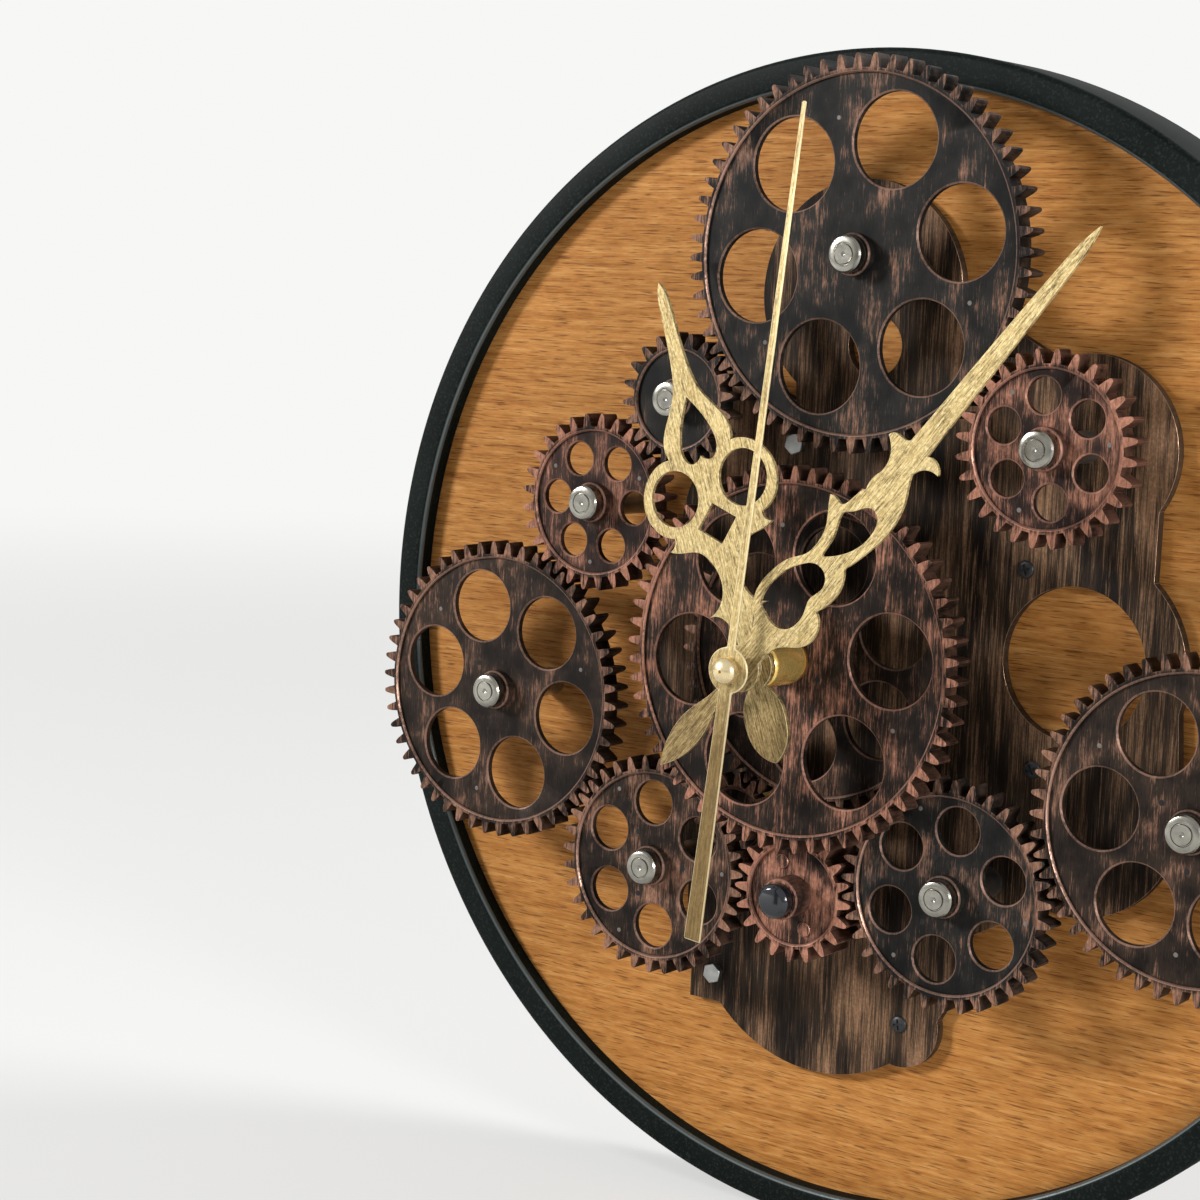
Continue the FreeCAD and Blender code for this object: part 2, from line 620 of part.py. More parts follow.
turned.ReferenceAxis = (profile, ["H_Axis"])
turned.Angle = 360
ring.Tip = turned
node(ring, "rim_ring")

# Places on the dial, as shares of the ring's lip radius, to the right and up
SCREW_SHARES = {"upper": (0.343, 0.178), "lower": (0.377, -0.162), "ear": (0.146, -0.657)}
BOLT_SHARES = {"inner": (-0.127, 0.360), "corner": (-0.252, -0.639)}
PLATE_DISC_SHARES = [
    ("low", "plate_low_r", (-0.030, -0.490)),
    ("ear", "plate_ear_r", (0.146, -0.657)),
    ("right", "plate_right_r", (0.458, -0.215)),
    ("ring", "plate_ring_r", (0.441, 0.026)),
    ("upper", "plate_upper_r", (0.443, 0.386)),
    ("top", "plate_top_r", (-0.010, 0.630)),
    ("middle", "plate_middle_r", (0.03, 0)),
    ("fill", "plate_fill_r", (0.19, 0.325)),
    ("bolt", "plate_bolt_r", (-0.127, 0.360)),
    ("left", "plate_left_r", (-0.165, 0.0)),
    ("left_upper", "plate_left_upper_r", (-0.155, 0.185)),
]
PLATE_WEBS = [
    ("low", "middle", "plate_web"),
    ("middle", "top", "plate_web"),
    ("middle", "ring", "plate_web"),
    ("ring", "upper", "plate_web"),
    ("ring", "right", "plate_wide_web"),
    ("low", "right", "plate_web"),
    ("top", "upper", "plate_narrow_web"),
    ("middle", "upper", "plate_narrow_web"),
]
WINDOW_SHARE = (0.024, 0.542)


def shared_spot(shares):
    return (shares[0] * size["rim_lip_r"], shares[1] * size["rim_lip_r"])


screw_spots = {name: shared_spot(shares) for name, shares in SCREW_SHARES.items()}
bolt_spots = {name: shared_spot(shares) for name, shares in BOLT_SHARES.items()}


def plate_disc(name, radius, spot):
    return rod("plate_" + name, radius, PLATE_FRONT, PANEL_FRONT, spot)


def plate_web(name, start, end, wide):
    """A straight web between two discs' middles."""
    middle = ((start[0] + end[0]) / 2, (start[1] + end[1]) / 2)
    turn = bearing_of(start, end)
    length = f"{math.dist(start, end) / size['rim_lip_r']:.9f} * rim_lip_r"
    return block("plate_" + name, length, wide, PLATE_FRONT, PANEL_FRONT, middle, turn)


def through_holes(name, front, back):
    """What passes through plate or panel: the bushing, the motor's boss and the pins."""
    holes = [
        rod(name + "_bushing_hole", "bushing_r + run_gap", front, back),
        rod(name + "_motor_hole", "motor_boss_r + seat_gap", front, back, gears["drive"]["spot"]),
    ]
    for pin_name in pin_names:
        if front == PANEL_FRONT or pin_name not in OFF_PLATE:
            holes.append(rod(f"{name}_{pin_name}_hole", pin_hole, front, back, gears[pin_name]["spot"]))
    for screw_name, spot in (screw_spots | bolt_spots).items():
        holes.append(rod(f"{name}_{screw_name}_screw_hole", "screw_r", front, back, spot))
    return holes


disc_spots = {name: shared_spot(shares) for name, radius, shares in PLATE_DISC_SHARES}
plate_solids = [plate_disc(name, radius, disc_spots[name]) for name, radius, shares in PLATE_DISC_SHARES]
plate_solids += [plate_web(f"{start}_{end}", disc_spots[start], disc_spots[end], wide)
                 for start, end, wide in PLATE_WEBS]
plate_solids += [plate_disc(name + "_foot", "plate_bolt_r", gears[name]["spot"])
                 for name in ("lower_left", "upper_left_small", "right")]
plate_solids.append(plate_web("bolt_foot", bolt_spots["inner"], gears["upper_left_small"]["spot"], "plate_bolt_r * 2"))
plate_solids.append(plate_web("right_foot", disc_spots["right"], gears["right"]["spot"], "plate_bolt_r * 2"))
plate_solids.append(block("plate_corner", "plate_corner_half * 2", "plate_corner_half * 2",
                          PLATE_FRONT, PANEL_FRONT, bolt_spots["corner"]))
plate_openings = [
    rod("plate_round_hole", "plate_hole_r", PLATE_FRONT, PANEL_FRONT, disc_spots["ring"]),
    rod("plate_window", "plate_window_r", PLATE_FRONT, PANEL_FRONT, shared_spot(WINDOW_SHARE)),
]
plate_blank = fuse("plate_blank", plate_solids)
node(cut("plate_cut", plate_blank, plate_openings + through_holes("plate", PLATE_FRONT, PANEL_FRONT)), "gear_plate")

# Panel, with holes for the small screws behind it too
clip_turns = range(0, 360, 60)
clip_reach = math.sqrt((size["rim_outer_r"] - size["rim_wall"]) ** 2 - (size["clip_wide"] / 2) ** 2)
clip_screw_reach = clip_reach - size["sheet_thick"] - size["clip_foot"] / 2
clip_spots = [on_arc(clip_screw_reach, turn) for turn in clip_turns]
hanger_middle = size["hang_height"] + (size["keyhole_rise"] - size["keyhole_r"]) / 2
hanger_screw_side = (size["hanger_wide"] + size["hanger_foot"]) / 2
hanger_spots = [(side * hanger_screw_side, hanger_middle) for side in (-1, 1)]
motor_spots = [(gears["drive"]["spot"][0] + side * size["motor_ear_reach"], gears["drive"]["spot"][1]) for side in (-1, 1)]
small_spots = clip_spots + hanger_spots + motor_spots

panel_blank = rod("panel_blank", f"{side_inner} - seat_gap", PANEL_FRONT, "panel_back")
panel_holes = through_holes("panel", PANEL_FRONT, "panel_back")
panel_holes += [rod(f"panel_small_hole_{number}", "screw_r", "panel_back + panel_thick / 2", "panel_back", spot)
                for number, spot in enumerate(small_spots)]
node(cut("panel_cut", panel_blank, panel_holes), "wood_panel")


def back_screw(name, spot, seat):
    """A slotted screw from behind: its head lies on a seat, and its shank goes into the panel."""
    shank = rod(name + "_shank", "screw_r", "panel_back + panel_thick / 2", seat, spot)
    head = rod(name + "_head", "screw_head_r", seat, f"{seat} - screw_head_thick", spot)
    slot = block(name + "_slot", "screw_head_r * 3", "screw_slot_half * 2",
                 f"{seat} - screw_head_thick + screw_slot_deep", f"{seat} - screw_head_thick", spot, 30)
    return cut(name, fuse(name + "_body", [shank, head]), [slot])


def cross_screw(name, spot):
    """A cross-head screw in the gear plate."""
    front = f"{PLATE_FRONT} + screw_head_thick / 2"
    shank = rod(name + "_shank", "screw_r", PLATE_FRONT, "panel_back", spot)
    head = rod(name + "_head", "plate_screw_r", front, PLATE_FRONT, spot)
    slots = [block(f"{name}_slot_{turn}", "plate_screw_r", "screw_slot_half * 2", front,
                   f"{front} - screw_slot_deep / 2", spot, turn) for turn in (35, 125)]
    return cut(name, fuse(name + "_body", [shank, head]), slots)


def silver_bolt(name, spot):
    shank = rod(name + "_shank", "screw_r", PLATE_FRONT, "panel_back", spot)
    head = hexagon(name + "_head", "bolt_head_r", f"{PLATE_FRONT} + bolt_head_thick", PLATE_FRONT, spot, 20)
    return fuse(name, [shank, head])


group("plate_screws", [cross_screw("plate_screw_" + name, spot) for name, spot in screw_spots.items()])
group("plate_bolts", [silver_bolt("plate_bolt_" + name, spot) for name, spot in bolt_spots.items()])


def panel_clip(name, turn):
    """A sheet clip: its foot lies on the panel and its upright against the ring's inside."""
    foot_spot = on_arc(clip_reach - (size["clip_foot"] + size["sheet_thick"]) / 2, turn)
    wall_spot = on_arc(clip_reach - size["sheet_thick"] / 2, turn)
    foot = block(name + "_foot", "clip_foot + sheet_thick", "clip_wide", "panel_back",
                 "panel_back - sheet_thick", foot_spot, turn)
    upright = block(name + "_upright", "sheet_thick", "clip_wide", "panel_back",
                    "panel_back - clip_upright", wall_spot, turn)
    hole = rod(name + "_hole", "screw_r", "panel_back", "panel_back - sheet_thick", on_arc(clip_screw_reach, turn))
    return cut(name, fuse(name + "_body", [foot, upright]), [hole])


sheet_back = "(panel_back - sheet_thick)"
group("panel_clips", [panel_clip(f"clip_{turn}", turn) for turn in clip_turns])
group("clip_screws", [back_screw(f"clip_screw_{number}", spot, sheet_back) for number, spot in enumerate(clip_spots)])

# Hanger: a sheet hat with a keyhole in its face, its feet screwed to the panel
face_spot = (0, hanger_middle)
hanger_solids = [block("hanger_face", "hanger_wide", "hanger_high", "sheet_thick", WALL, face_spot)]
for side, spot in zip((-1, 1), hanger_spots):
    leg_spot = (side * (size["hanger_wide"] - size["sheet_thick"]) / 2, hanger_middle)
    foot_spot = (side * (size["hanger_wide"] + size["hanger_foot"] - size["sheet_thick"]) / 2, hanger_middle)
    hanger_solids.append(block(f"hanger_leg_{side + 1}", "sheet_thick", "hanger_high", "panel_back", WALL, leg_spot))
    hanger_solids.append(block(f"hanger_foot_{side + 1}", "hanger_foot + sheet_thick", "hanger_high",
                               "panel_back", sheet_back, foot_spot))
slot_spot = (0, size["hang_height"] + size["keyhole_rise"] / 2)
hanger_cuts = [
    rod("keyhole_entry", "keyhole_r", "sheet_thick", WALL, (0, size["hang_height"])),
    block("keyhole_slot", "keyhole_slot_half * 2", "keyhole_rise", "sheet_thick", WALL, slot_spot),
    rod("keyhole_end", "keyhole_slot_half", "sheet_thick", WALL, (0, size["hang_height"] + size["keyhole_rise"])),
]
hanger_cuts += [rod(f"hanger_hole_{number}", "screw_r", "panel_back", sheet_back, spot)
                for number, spot in enumerate(hanger_spots)]
node(cut("hanger_cut", fuse("hanger_body", hanger_solids), hanger_cuts), "hanger_bracket")
group("hanger_screws", [back_screw(f"hanger_screw_{number}", spot, sheet_back)
                        for number, spot in enumerate(hanger_spots)])

# Dial axis: bushing, spacer and sleeve nut stand still
case_inner = "(panel_back - case_wall)"
flange_back = f"({case_inner} - sheet_thick)"
sleeve_back = f"({CENTRE_FRONT} + face_gap)"
sleeve_front = f"({sleeve_back} + sleeve_long)"
bushing_front = f"({sleeve_front} - sleeve_bead)"
bushing_solids = [
    rod("bushing_thread", "bushing_r", bushing_front, flange_back),
    rod("bushing_flange", "sleeve_r", case_inner, flange_back),
]
bushing_bore = rod("bushing_bore", "bushing_bore_r", bushing_front, flange_back)
node(cut("bushing_cut", fuse("bushing_body", bushing_solids), [bushing_bore]), "threaded_bushing")
spacer_outside = rod("spacer_outside", "spacer_r", f"{REAR_BACK} - face_gap", PLATE_FRONT)
spacer_bore = rod("spacer_bore", "bushing_r", f"{REAR_BACK} - face_gap", PLATE_FRONT)
node(cut("spacer_cut", spacer_outside, [spacer_bore]), "spacer_tube")
sleeve_solids = [
    rod("sleeve_outside", "sleeve_r", f"{sleeve_front} - sleeve_bead", sleeve_back),
    taper("sleeve_end", "sleeve_r - sleeve_bead / 2", "sleeve_r", sleeve_front, f"{sleeve_front} - sleeve_bead"),
]
sleeve_bores = [
    rod("sleeve_thread", "bushing_r", bushing_front, sleeve_back),
    rod("sleeve_mouth", "bushing_bore_r", sleeve_front, bushing_front),
]
node(cut("sleeve_cut", fuse("sleeve_body", sleeve_solids), sleeve_bores), "sleeve_nut")

# Hand tubes: each ends in its wheel inside the case, and the inner one stands out further.
# A gap of two face gaps keeps the wheels apart.
wheel_step = "(bay_floor + face_gap * 2)"
hour_wheel_front = f"({flange_back} - face_gap)"
minute_wheel_front = f"({hour_wheel_front} - {wheel_step})"
second_wheel_front = f"({minute_wheel_front} - {wheel_step})"


def hand_tube(label, radius, bore, front, wheel_radius, wheel_front):
    """A tube with its inner wheel, or a solid shaft where no bore is given."""
    end = f"({wheel_front} - bay_floor)"
    body = fuse(label + "_body", [
        rod(label + "_stem", radius, front, end),
        rod(label + "_wheel", wheel_radius, wheel_front, end),
    ])
    if bore:
        body = cut(label + "_cut", body, [rod(label + "_bore", bore, front, end)])
    return node(body, label)


hand_tube("hour_tube", "hour_tube_r", "minute_tube_r + run_gap", "hour_hand_back + hand_thick",
          "spacer_r * 3 / 2", hour_wheel_front)
hand_tube("minute_tube", "minute_tube_r", "second_shaft_r + run_gap", "minute_hand_back + hand_thick",
          "spacer_r * 5 / 4", minute_wheel_front)
hand_tube("second_shaft", "second_shaft_r", None, "second_hand_back + second_thick",
          "spacer_r", second_wheel_front)

# Hands: outlines as shares of each hand's own half width and length, to the right and up
# along the hand. Curves run through the points, and a corner ends a curve.


def hand_face(outline, half, reach, tail):
    """The area inside an outline. Points below the axis are shares of the tail."""
    edges = []
    for curve in outline:
        points = [Vector(across * half, along * (reach if along > 0 else tail), 0) for across, along in curve]
        if len(points) == 2:
            edges.append(Part.LineSegment(*points).toShape())
        else:
            spline = Part.BSplineCurve()
            spline.interpolate(points)
            edges.append(spline.toShape())
    return Part.Face(Part.Wire(edges))


def mirrored(curves):
    """An outline's right side followed by its mirror image, from tip back to tail."""
    return curves + [[(-across, along) for across, along in curve[::-1]] for curve in curves[::-1]]


def round_hole(centre, radius):
    circle = Part.Circle(Vector(centre[0], centre[1], 0), Vector(0, 0, 1), radius)
    return Part.Face(Part.Wire(circle.toShape()))


def hand(label, face, holes, hub_r, bore, back, thick, angle):
    """A flat hand cut from a sheet, with its round middle, its openings and its bore."""
    blank = face.fuse(round_hole((0, 0), size[hub_r]))
    for hole in holes + [round_hole((0, 0), size[bore])]:
        blank = blank.cut(hole)
    flat = blank.removeSplitter()
    solid = flat.extrude(Vector(0, 0, size[thick]))
    body = doc.addObject("Part::Feature", label)
    body.Shape = solid
    lay = Rotation(Vector(0, 1, 0), angle) * Rotation(Vector(1, 0, 0), 90)
    body.Placement = Placement(Vector(0, -size[back], -size["hang_height"]), lay)
    return node(body, label)


def scaled(points, half, reach):
    """A closed curve through points given as shares."""
    spline = Part.BSplineCurve()
    spline.interpolate([Vector(across * half, along * reach, 0) for across, along in points], PeriodicFlag=True)
    return Part.Face(Part.Wire(spline.toShape()))


HOUR_SHARES = [
    [(0, 1), (0.05, 0.975), (0.08, 0.92), (0.115, 0.785), (0.19, 0.715), (0.34, 0.663), (0.485, 0.612),
     (0.475, 0.56)],
    [(0.475, 0.56), (0.8, 0.54), (1, 0.475), (0.955, 0.412), (0.67, 0.365)],
    [(0.67, 0.365), (0.7, 0.345), (0.78, 0.335)],
    [(0.78, 0.335), (0.58, 0.322), (0.37, 0.312), (0.215, 0.278), (0.145, 0.235), (0.165, 0.195),
     (0.26, 0.165), (0.44, 0.146)],
    [(0.44, 0.146), (0.25, 0.134), (0.16, 0.105), (0.13, 0.04)],
    [(0.13, 0.04), (0.08, -0.2)],
    [(0.08, -0.2), (0.21, -0.3), (0.29, -0.45), (0.3, -0.6), (0.265, -0.77), (0.17, -0.9), (0, -1)],
]
HOUR_RING_SHARES = (0.525, 0.461)
HOUR_RING_HOLE_SHARE = 0.353
HOUR_DIAMOND_SHARES = [(0, 0.423), (0.295, 0.37), (0, 0.316), (-0.295, 0.37)]
HOUR_HEART_SHARES = [
    [(0, 0.7), (0.125, 0.66), (0.255, 0.597), (0.265, 0.558), (0.16, 0.531), (0.045, 0.536), (0, 0.546)],
]

hour_half, hour_long, hour_tail = size["hour_half"], size["hour_long"], size["hour_tail"]
hour_outline = hand_face(mirrored(HOUR_SHARES), hour_half, hour_long, hour_tail)
hour_diamond = [[HOUR_DIAMOND_SHARES[corner], HOUR_DIAMOND_SHARES[(corner + 1) % 4]] for corner in range(4)]
hour_openings = [
    hand_face(hour_diamond, hour_half, hour_long, hour_tail),
    hand_face(mirrored(HOUR_HEART_SHARES), hour_half, hour_long, hour_tail),
]
for side in (-1, 1):
    ring_middle = (side * HOUR_RING_SHARES[0] * hour_half, HOUR_RING_SHARES[1] * hour_long)
    hour_openings.append(round_hole(ring_middle, HOUR_RING_HOLE_SHARE * hour_half))
hand("hour_hand", hour_outline, hour_openings, "hand_hub_r", "hour_tube_r",
     "hour_hand_back", "hand_thick", size["hour_angle"])

MINUTE_SHARES = [
    [(0, 1), (0.09, 0.97), (0.16, 0.9), (0.23, 0.7), (0.28, 0.525)],
    [(0.28, 0.525), (0.5, 0.53), (0.66, 0.526), (0.79, 0.516)],
    [(0.79, 0.516), (0.56, 0.512), (0.38, 0.501), (0.27, 0.482)],
    [(0.27, 0.482), (0.36, 0.468), (0.59, 0.438), (0.71, 0.405), (0.745, 0.372), (0.667, 0.337), (0.569, 0.302),
     (0.46, 0.277)],
    [(0.46, 0.277), (0.62, 0.262), (0.73, 0.238), (0.72, 0.213), (0.6, 0.184)],
    [(0.6, 0.184), (0.8, 0.176), (0.955, 0.156), (0.975, 0.136), (0.86, 0.117), (0.616, 0.099), (0.4, 0.08),
     (0.32, 0.058), (0.31, 0.028)],
    [(0.31, 0.028), (0.14, -0.14)],
    [(0.14, -0.14), (0.18, -0.34), (0.36, -0.56), (0.33, -0.77), (0.14, -0.93), (0, -1)],
    [(0, -1), (-0.14, -0.93), (-0.33, -0.77), (-0.36, -0.56), (-0.18, -0.34), (-0.14, -0.14)],
    [(-0.14, -0.14), (-0.31, 0.028)],
    [(-0.31, 0.028), (-0.33, 0.06), (-0.56, 0.09), (-0.842, 0.111), (-0.965, 0.14), (-0.95, 0.174), (-0.76, 0.218),
     (-0.53, 0.245), (-0.48, 0.272), (-0.59, 0.308), (-0.79, 0.329), (-1, 0.352)],
    [(-1, 0.352), (-0.83, 0.355), (-0.65, 0.354), (-0.5, 0.379), (-0.38, 0.406)],
    [(-0.38, 0.406), (-0.43, 0.424), (-0.37, 0.446)],
    [(-0.37, 0.446), (-0.37, 0.464), (-0.45, 0.481), (-0.605, 0.494), (-0.8, 0.503)],
    [(-0.8, 0.503), (-0.66, 0.515), (-0.46, 0.517), (-0.28, 0.525)],
    [(-0.28, 0.525), (-0.23, 0.7), (-0.16, 0.9), (-0.09, 0.97), (0, 1)],
]
MINUTE_EYE_SHARES = [(-0.14, 0.264), (0.134, 0.287), (0.335, 0.312), (0.44, 0.339), (0.44, 0.363), (0.33, 0.384),
                     (0.1, 0.391), (-0.12, 0.38), (-0.3, 0.36), (-0.46, 0.347), (-0.44, 0.333), (-0.325, 0.313),
                     (-0.235, 0.288)]
MINUTE_SCROLL_SHARES = [(-0.68, 0.118), (-0.77, 0.14), (-0.76, 0.165), (-0.66, 0.198), (-0.47, 0.223),
                        (-0.2, 0.244), (0.06, 0.247), (0.28, 0.237), (0.35, 0.22), (0.27, 0.19), (0.39, 0.165),
                        (0.41, 0.14), (0.3, 0.12), (0.1, 0.109), (-0.15, 0.106), (-0.42, 0.109)]

minute_half, minute_long = size["minute_half"], size["minute_long"]
minute_outline = hand_face(MINUTE_SHARES, minute_half, minute_long, size["minute_tail"])
minute_openings = [scaled(shares, minute_half, minute_long) for shares in (MINUTE_EYE_SHARES, MINUTE_SCROLL_SHARES)]
hand("minute_hand", minute_outline, minute_openings, "hand_hub_r", "minute_tube_r",
     "minute_hand_back", "hand_thick", size["minute_angle"])

SECOND_SHARES = [
    [(-0.24, 1), (0.24, 1)],
    [(0.24, 1), (0.4, 0.5), (0.48, 0.02)],
    [(0.48, 0.02), (0.76, -0.05)],
    [(0.76, -0.05), (1, -1)],
    [(1, -1), (-1, -1)],
    [(-1, -1), (-0.76, -0.05)],
    [(-0.76, -0.05), (-0.48, 0.02)],
    [(-0.48, 0.02), (-0.4, 0.5), (-0.24, 1)],
]
second_outline = hand_face(SECOND_SHARES, size["second_half"], size["second_long"], size["second_tail"])
hand("second_hand", second_outline, [], "hand_hub_r", "second_shaft_r",
     "second_hand_back", "second_thick", size["second_angle"])

# Domed cap on the second hand: a low drum under a ball's segment
cap_back = "(second_hand_back + second_thick)"
cap_drum = rod("cap_drum", "cap_r", f"{cap_back} + cap_rise / 2", cap_back)
cap_shoulder = taper("cap_shoulder", "cap_r * 3 / 4", "cap_r", f"{cap_back} + cap_rise * 5 / 6",
                     f"{cap_back} + cap_rise / 2")
cap_top = taper("cap_top", "cap_r / 3", "cap_r * 3 / 4", f"{cap_back} + cap_rise", f"{cap_back} + cap_rise * 5 / 6")
node(fuse("cap_body", [cap_drum, cap_shoulder, cap_top]), "second_cap")

# Movement: a case whose lower part is the deeper battery bay, closed above by a cover
side = "movement_side"
half_side = size["movement_side"] / 2
bay_top = -size["bay_share_top"] * size["movement_side"]
upper_high = half_side - bay_top
bay_high = half_side + bay_top
upper_spot = (0, bay_top + upper_high / 2)
bay_spot = (0, bay_top - bay_high / 2)
upper_share = f"movement_side * {upper_high / size['movement_side']:.9f}"
bay_share = f"movement_side * {bay_high / size['movement_side']:.9f}"
cover_front = "(cover_back + case_wall)"
movement_back = "(panel_back - movement_thick)"
case_solids = [
    block("case_upper", side, upper_share, "panel_back", cover_front, upper_spot),
    block("case_bay", side, bay_share, "panel_back", movement_back, bay_spot),
]
case_cavities = [
    block("case_cavity", f"{side} - case_wall * 2", f"{upper_share} - case_wall * 2",
          case_inner, cover_front, upper_spot),
    block("bay_cavity", f"{side} - case_wall * 2", f"{bay_share} - case_wall * 2",
          "(panel_back - bay_floor)", movement_back, bay_spot),
    rod("case_mouth", "bushing_r", "panel_back", case_inner),
]
node(cut("case_cut", fuse("case_body", case_solids), case_cavities), "movement_case")
knob_share = 0.3
knob_spot = (-knob_share * size["movement_side"], upper_spot[1] + knob_share / 2 * size["movement_side"])
cover_plate = block("cover_plate", side, upper_share, cover_front, "cover_back", upper_spot)
cover_holes = [rod("cover_knob_hole", "knob_stem_r + run_gap", cover_front, "cover_back", knob_spot)]
node(cut("cover_cut", cover_plate, cover_holes), "movement_cover")
knob_front = "(cover_back - face_gap)"
knob_solids = [
    rod("knob_grip", "knob_r", knob_front, f"{knob_front} - knob_thick", knob_spot),
    rod("knob_stem", "knob_stem_r", f"{cover_front} + case_wall", knob_front, knob_spot),
]
node(fuse("knob_body", knob_solids), "setting_knob")

# Circuit board and coil in the case's upper right corner
board_share = 0.36
board_spot = (half_side - size["case_wall"] - board_share / 2 * size["movement_side"],
              half_side - size["case_wall"] - board_share / 4 * size["movement_side"])
board_back = f"({case_inner} - bay_floor)"
board_wide = f"movement_side * {board_share}"
node(block("board_body", f"{board_wide} - seat_gap", f"{board_wide} / 2 - seat_gap", case_inner, board_back,
           board_spot), "circuit_board")
coil_reach = f"{board_wide} / 3"
coil_solids = [block("coil_core", f"{board_wide} - seat_gap * 2", "case_wall * 2", f"{board_back}",
                     f"{board_back} - case_wall * 2", board_spot),
               block("coil_winding", coil_reach, "case_wall * 4", f"{board_back}",
                     f"{board_back} - case_wall * 4", board_spot)]
node(fuse("coil_body", coil_solids), "stepper_coil")


def cell_solid(name, spot):
    """A round cell lying along X, with its pole at the right, its front against a thin wall."""
    length = size["cell_long"]
    body = doc.addObject("Part::Cylinder", name + "_can")
    pole = doc.addObject("Part::Cylinder", name + "_pole")
    for solid, start in ((body, -length / 2), (pole, length / 2 - size["pole_rise"])):
        solid.Placement = Placement(Vector(spot[0] + start, 0, spot[1]), Rotation(Vector(0, 1, 0), 90))
        bind(solid, "Placement.Base.y", "-(panel_back - bay_floor - cell_r)")
        bind(solid, "Placement.Base.z", f"{spot[1]:.6f} - hang_height")
    bind(body, "Radius", "cell_r")
    bind(body, "Height", "cell_long - pole_rise")
    bind(pole, "Radius", "cell_r * 2 / 5")
    bind(pole, "Height", "pole_rise")
    return fuse(name, [body, pole])


def contact(name, spot, reach):
    """A contact plate between a cell's end and the end wall of its bay."""
    middle = (spot[0] + reach, spot[1])
    return block(name, "contact_thick", "cell_r", "panel_back - bay_floor", "panel_back - bay_floor - cell_r * 2", middle)


contact_reach = (size["cell_long"] + size["contact_thick"]) / 2
node(cell_solid("clock_cell", bay_spot), "clock_battery")
group("clock_contacts", [contact(f"clock_contact_{end + 1}", bay_spot, end * contact_reach) for end in (-1, 1)])

# Gear motor: gearbox with two ears and a bearing boss, motor can, screws and shaft
motor_spot = gears["drive"]["spot"]
gearbox_back = "(panel_back - motor_thick + motor_can_thick)"
boss_front = f"({PLATE_FRONT} + post_height / 4)"
gearbox_solids = [
    rod("gearbox_round", "motor_r", "panel_back", gearbox_back, motor_spot),
    block("gearbox_ears", "(motor_ear_reach + motor_ear) * 2", "motor_ear * 2", "panel_back", sheet_back, motor_spot),
    rod("gearbox_boss", "motor_boss_r", boss_front, "panel_back", motor_spot),
]
shaft_end = f"({gearbox_back} + case_wall)"
gearbox_holes = [rod("gearbox_bore", "drive_shaft_r + run_gap", boss_front, f"{shaft_end} - face_gap", motor_spot)]
gearbox_holes += [rod(f"gearbox_ear_hole_{number}", "screw_r", "panel_back", sheet_back, spot)
                  for number, spot in enumerate(motor_spots)]
node(cut("gearbox_cut", fuse("gearbox_body", gearbox_solids), gearbox_holes), "motor_gearbox")
node(rod("motor_can_body", "motor_can_r", gearbox_back, "panel_back - motor_thick", motor_spot), "motor_can")
group("motor_screws", [back_screw(f"motor_screw_{number}", spot, sheet_back) for number, spot in enumerate(motor_spots)])
shaft_front = f"({MAIN_FRONT} + drive_boss_rise)"
node(rod("motor_shaft_body", "drive_shaft_r", shaft_front, shaft_end, motor_spot), "motor_shaft")
cap_solids = [
    rod("shaft_cap_drum", "shaft_cap_r", f"{shaft_front} + shaft_cap_rise * 3 / 4", shaft_front, motor_spot),
    taper("shaft_cap_top", "shaft_cap_r * 3 / 4", "shaft_cap_r", f"{shaft_front} + shaft_cap_rise",
          f"{shaft_front} + shaft_cap_rise * 3 / 4", motor_spot),
]
node(fuse("shaft_cap_body", cap_solids), "shaft_cap")

# Battery box of the motor: a tray with two cells, a lid and a slide switch at its end
BOX_SHARES = (0.46, 0.034)
box_spot = shared_spot(BOX_SHARES)
box_back = "(panel_back - box_thick)"
lid_front = "(panel_back - bay_floor - cell_r * 2)"
box_outside = block("box_outside", "box_wide", "box_high", "panel_back", lid_front, box_spot)
box_cavity = block("box_cavity", "box_wide - case_wall * 2", "box_high - case_wall * 2",
                   "panel_back - bay_floor", lid_front, box_spot)
node(cut("box_cut", box_outside, [box_cavity]), "motor_battery_box")
node(block("lid_body", "box_wide", "box_high", lid_front, box_back, box_spot), "motor_battery_lid")
cell_step = size["cell_r"] + size["seat_gap"]
cell_spots = [(box_spot[0], box_spot[1] + row * cell_step) for row in (-1, 1)]
group("motor_batteries", [cell_solid(f"motor_cell_{number}", spot) for number, spot in enumerate(cell_spots)])
group("motor_contacts", [contact(f"motor_contact_{number}_{end + 1}", spot, end * contact_reach)
                         for number, spot in enumerate(cell_spots) for end in (-1, 1)])
switch_spot = (box_spot[0] + (size["box_wide"] + size["switch_wide"]) / 2, box_spot[1])
switch_back = "(panel_back - switch_thick)"
switch_floor = f"({switch_back} + slider_rise)"
switch_outside = block("switch_outside", "switch_wide", "switch_high", "panel_back", switch_back, switch_spot)
switch_slot = block("switch_slot", "slider_side + face_gap * 2", "slider_side + switch_travel + face_gap * 2",
                    switch_floor, switch_back, switch_spot)
node(cut("switch_cut", switch_outside, [switch_slot]), "switch_case")
slider_spot = (switch_spot[0], switch_spot[1] - size["switch_travel"] / 2)
node(block("slider_body", "slider_side", "slider_side", f"{switch_floor} - face_gap",
           f"{switch_back} - slider_rise", slider_spot), "switch_slider")

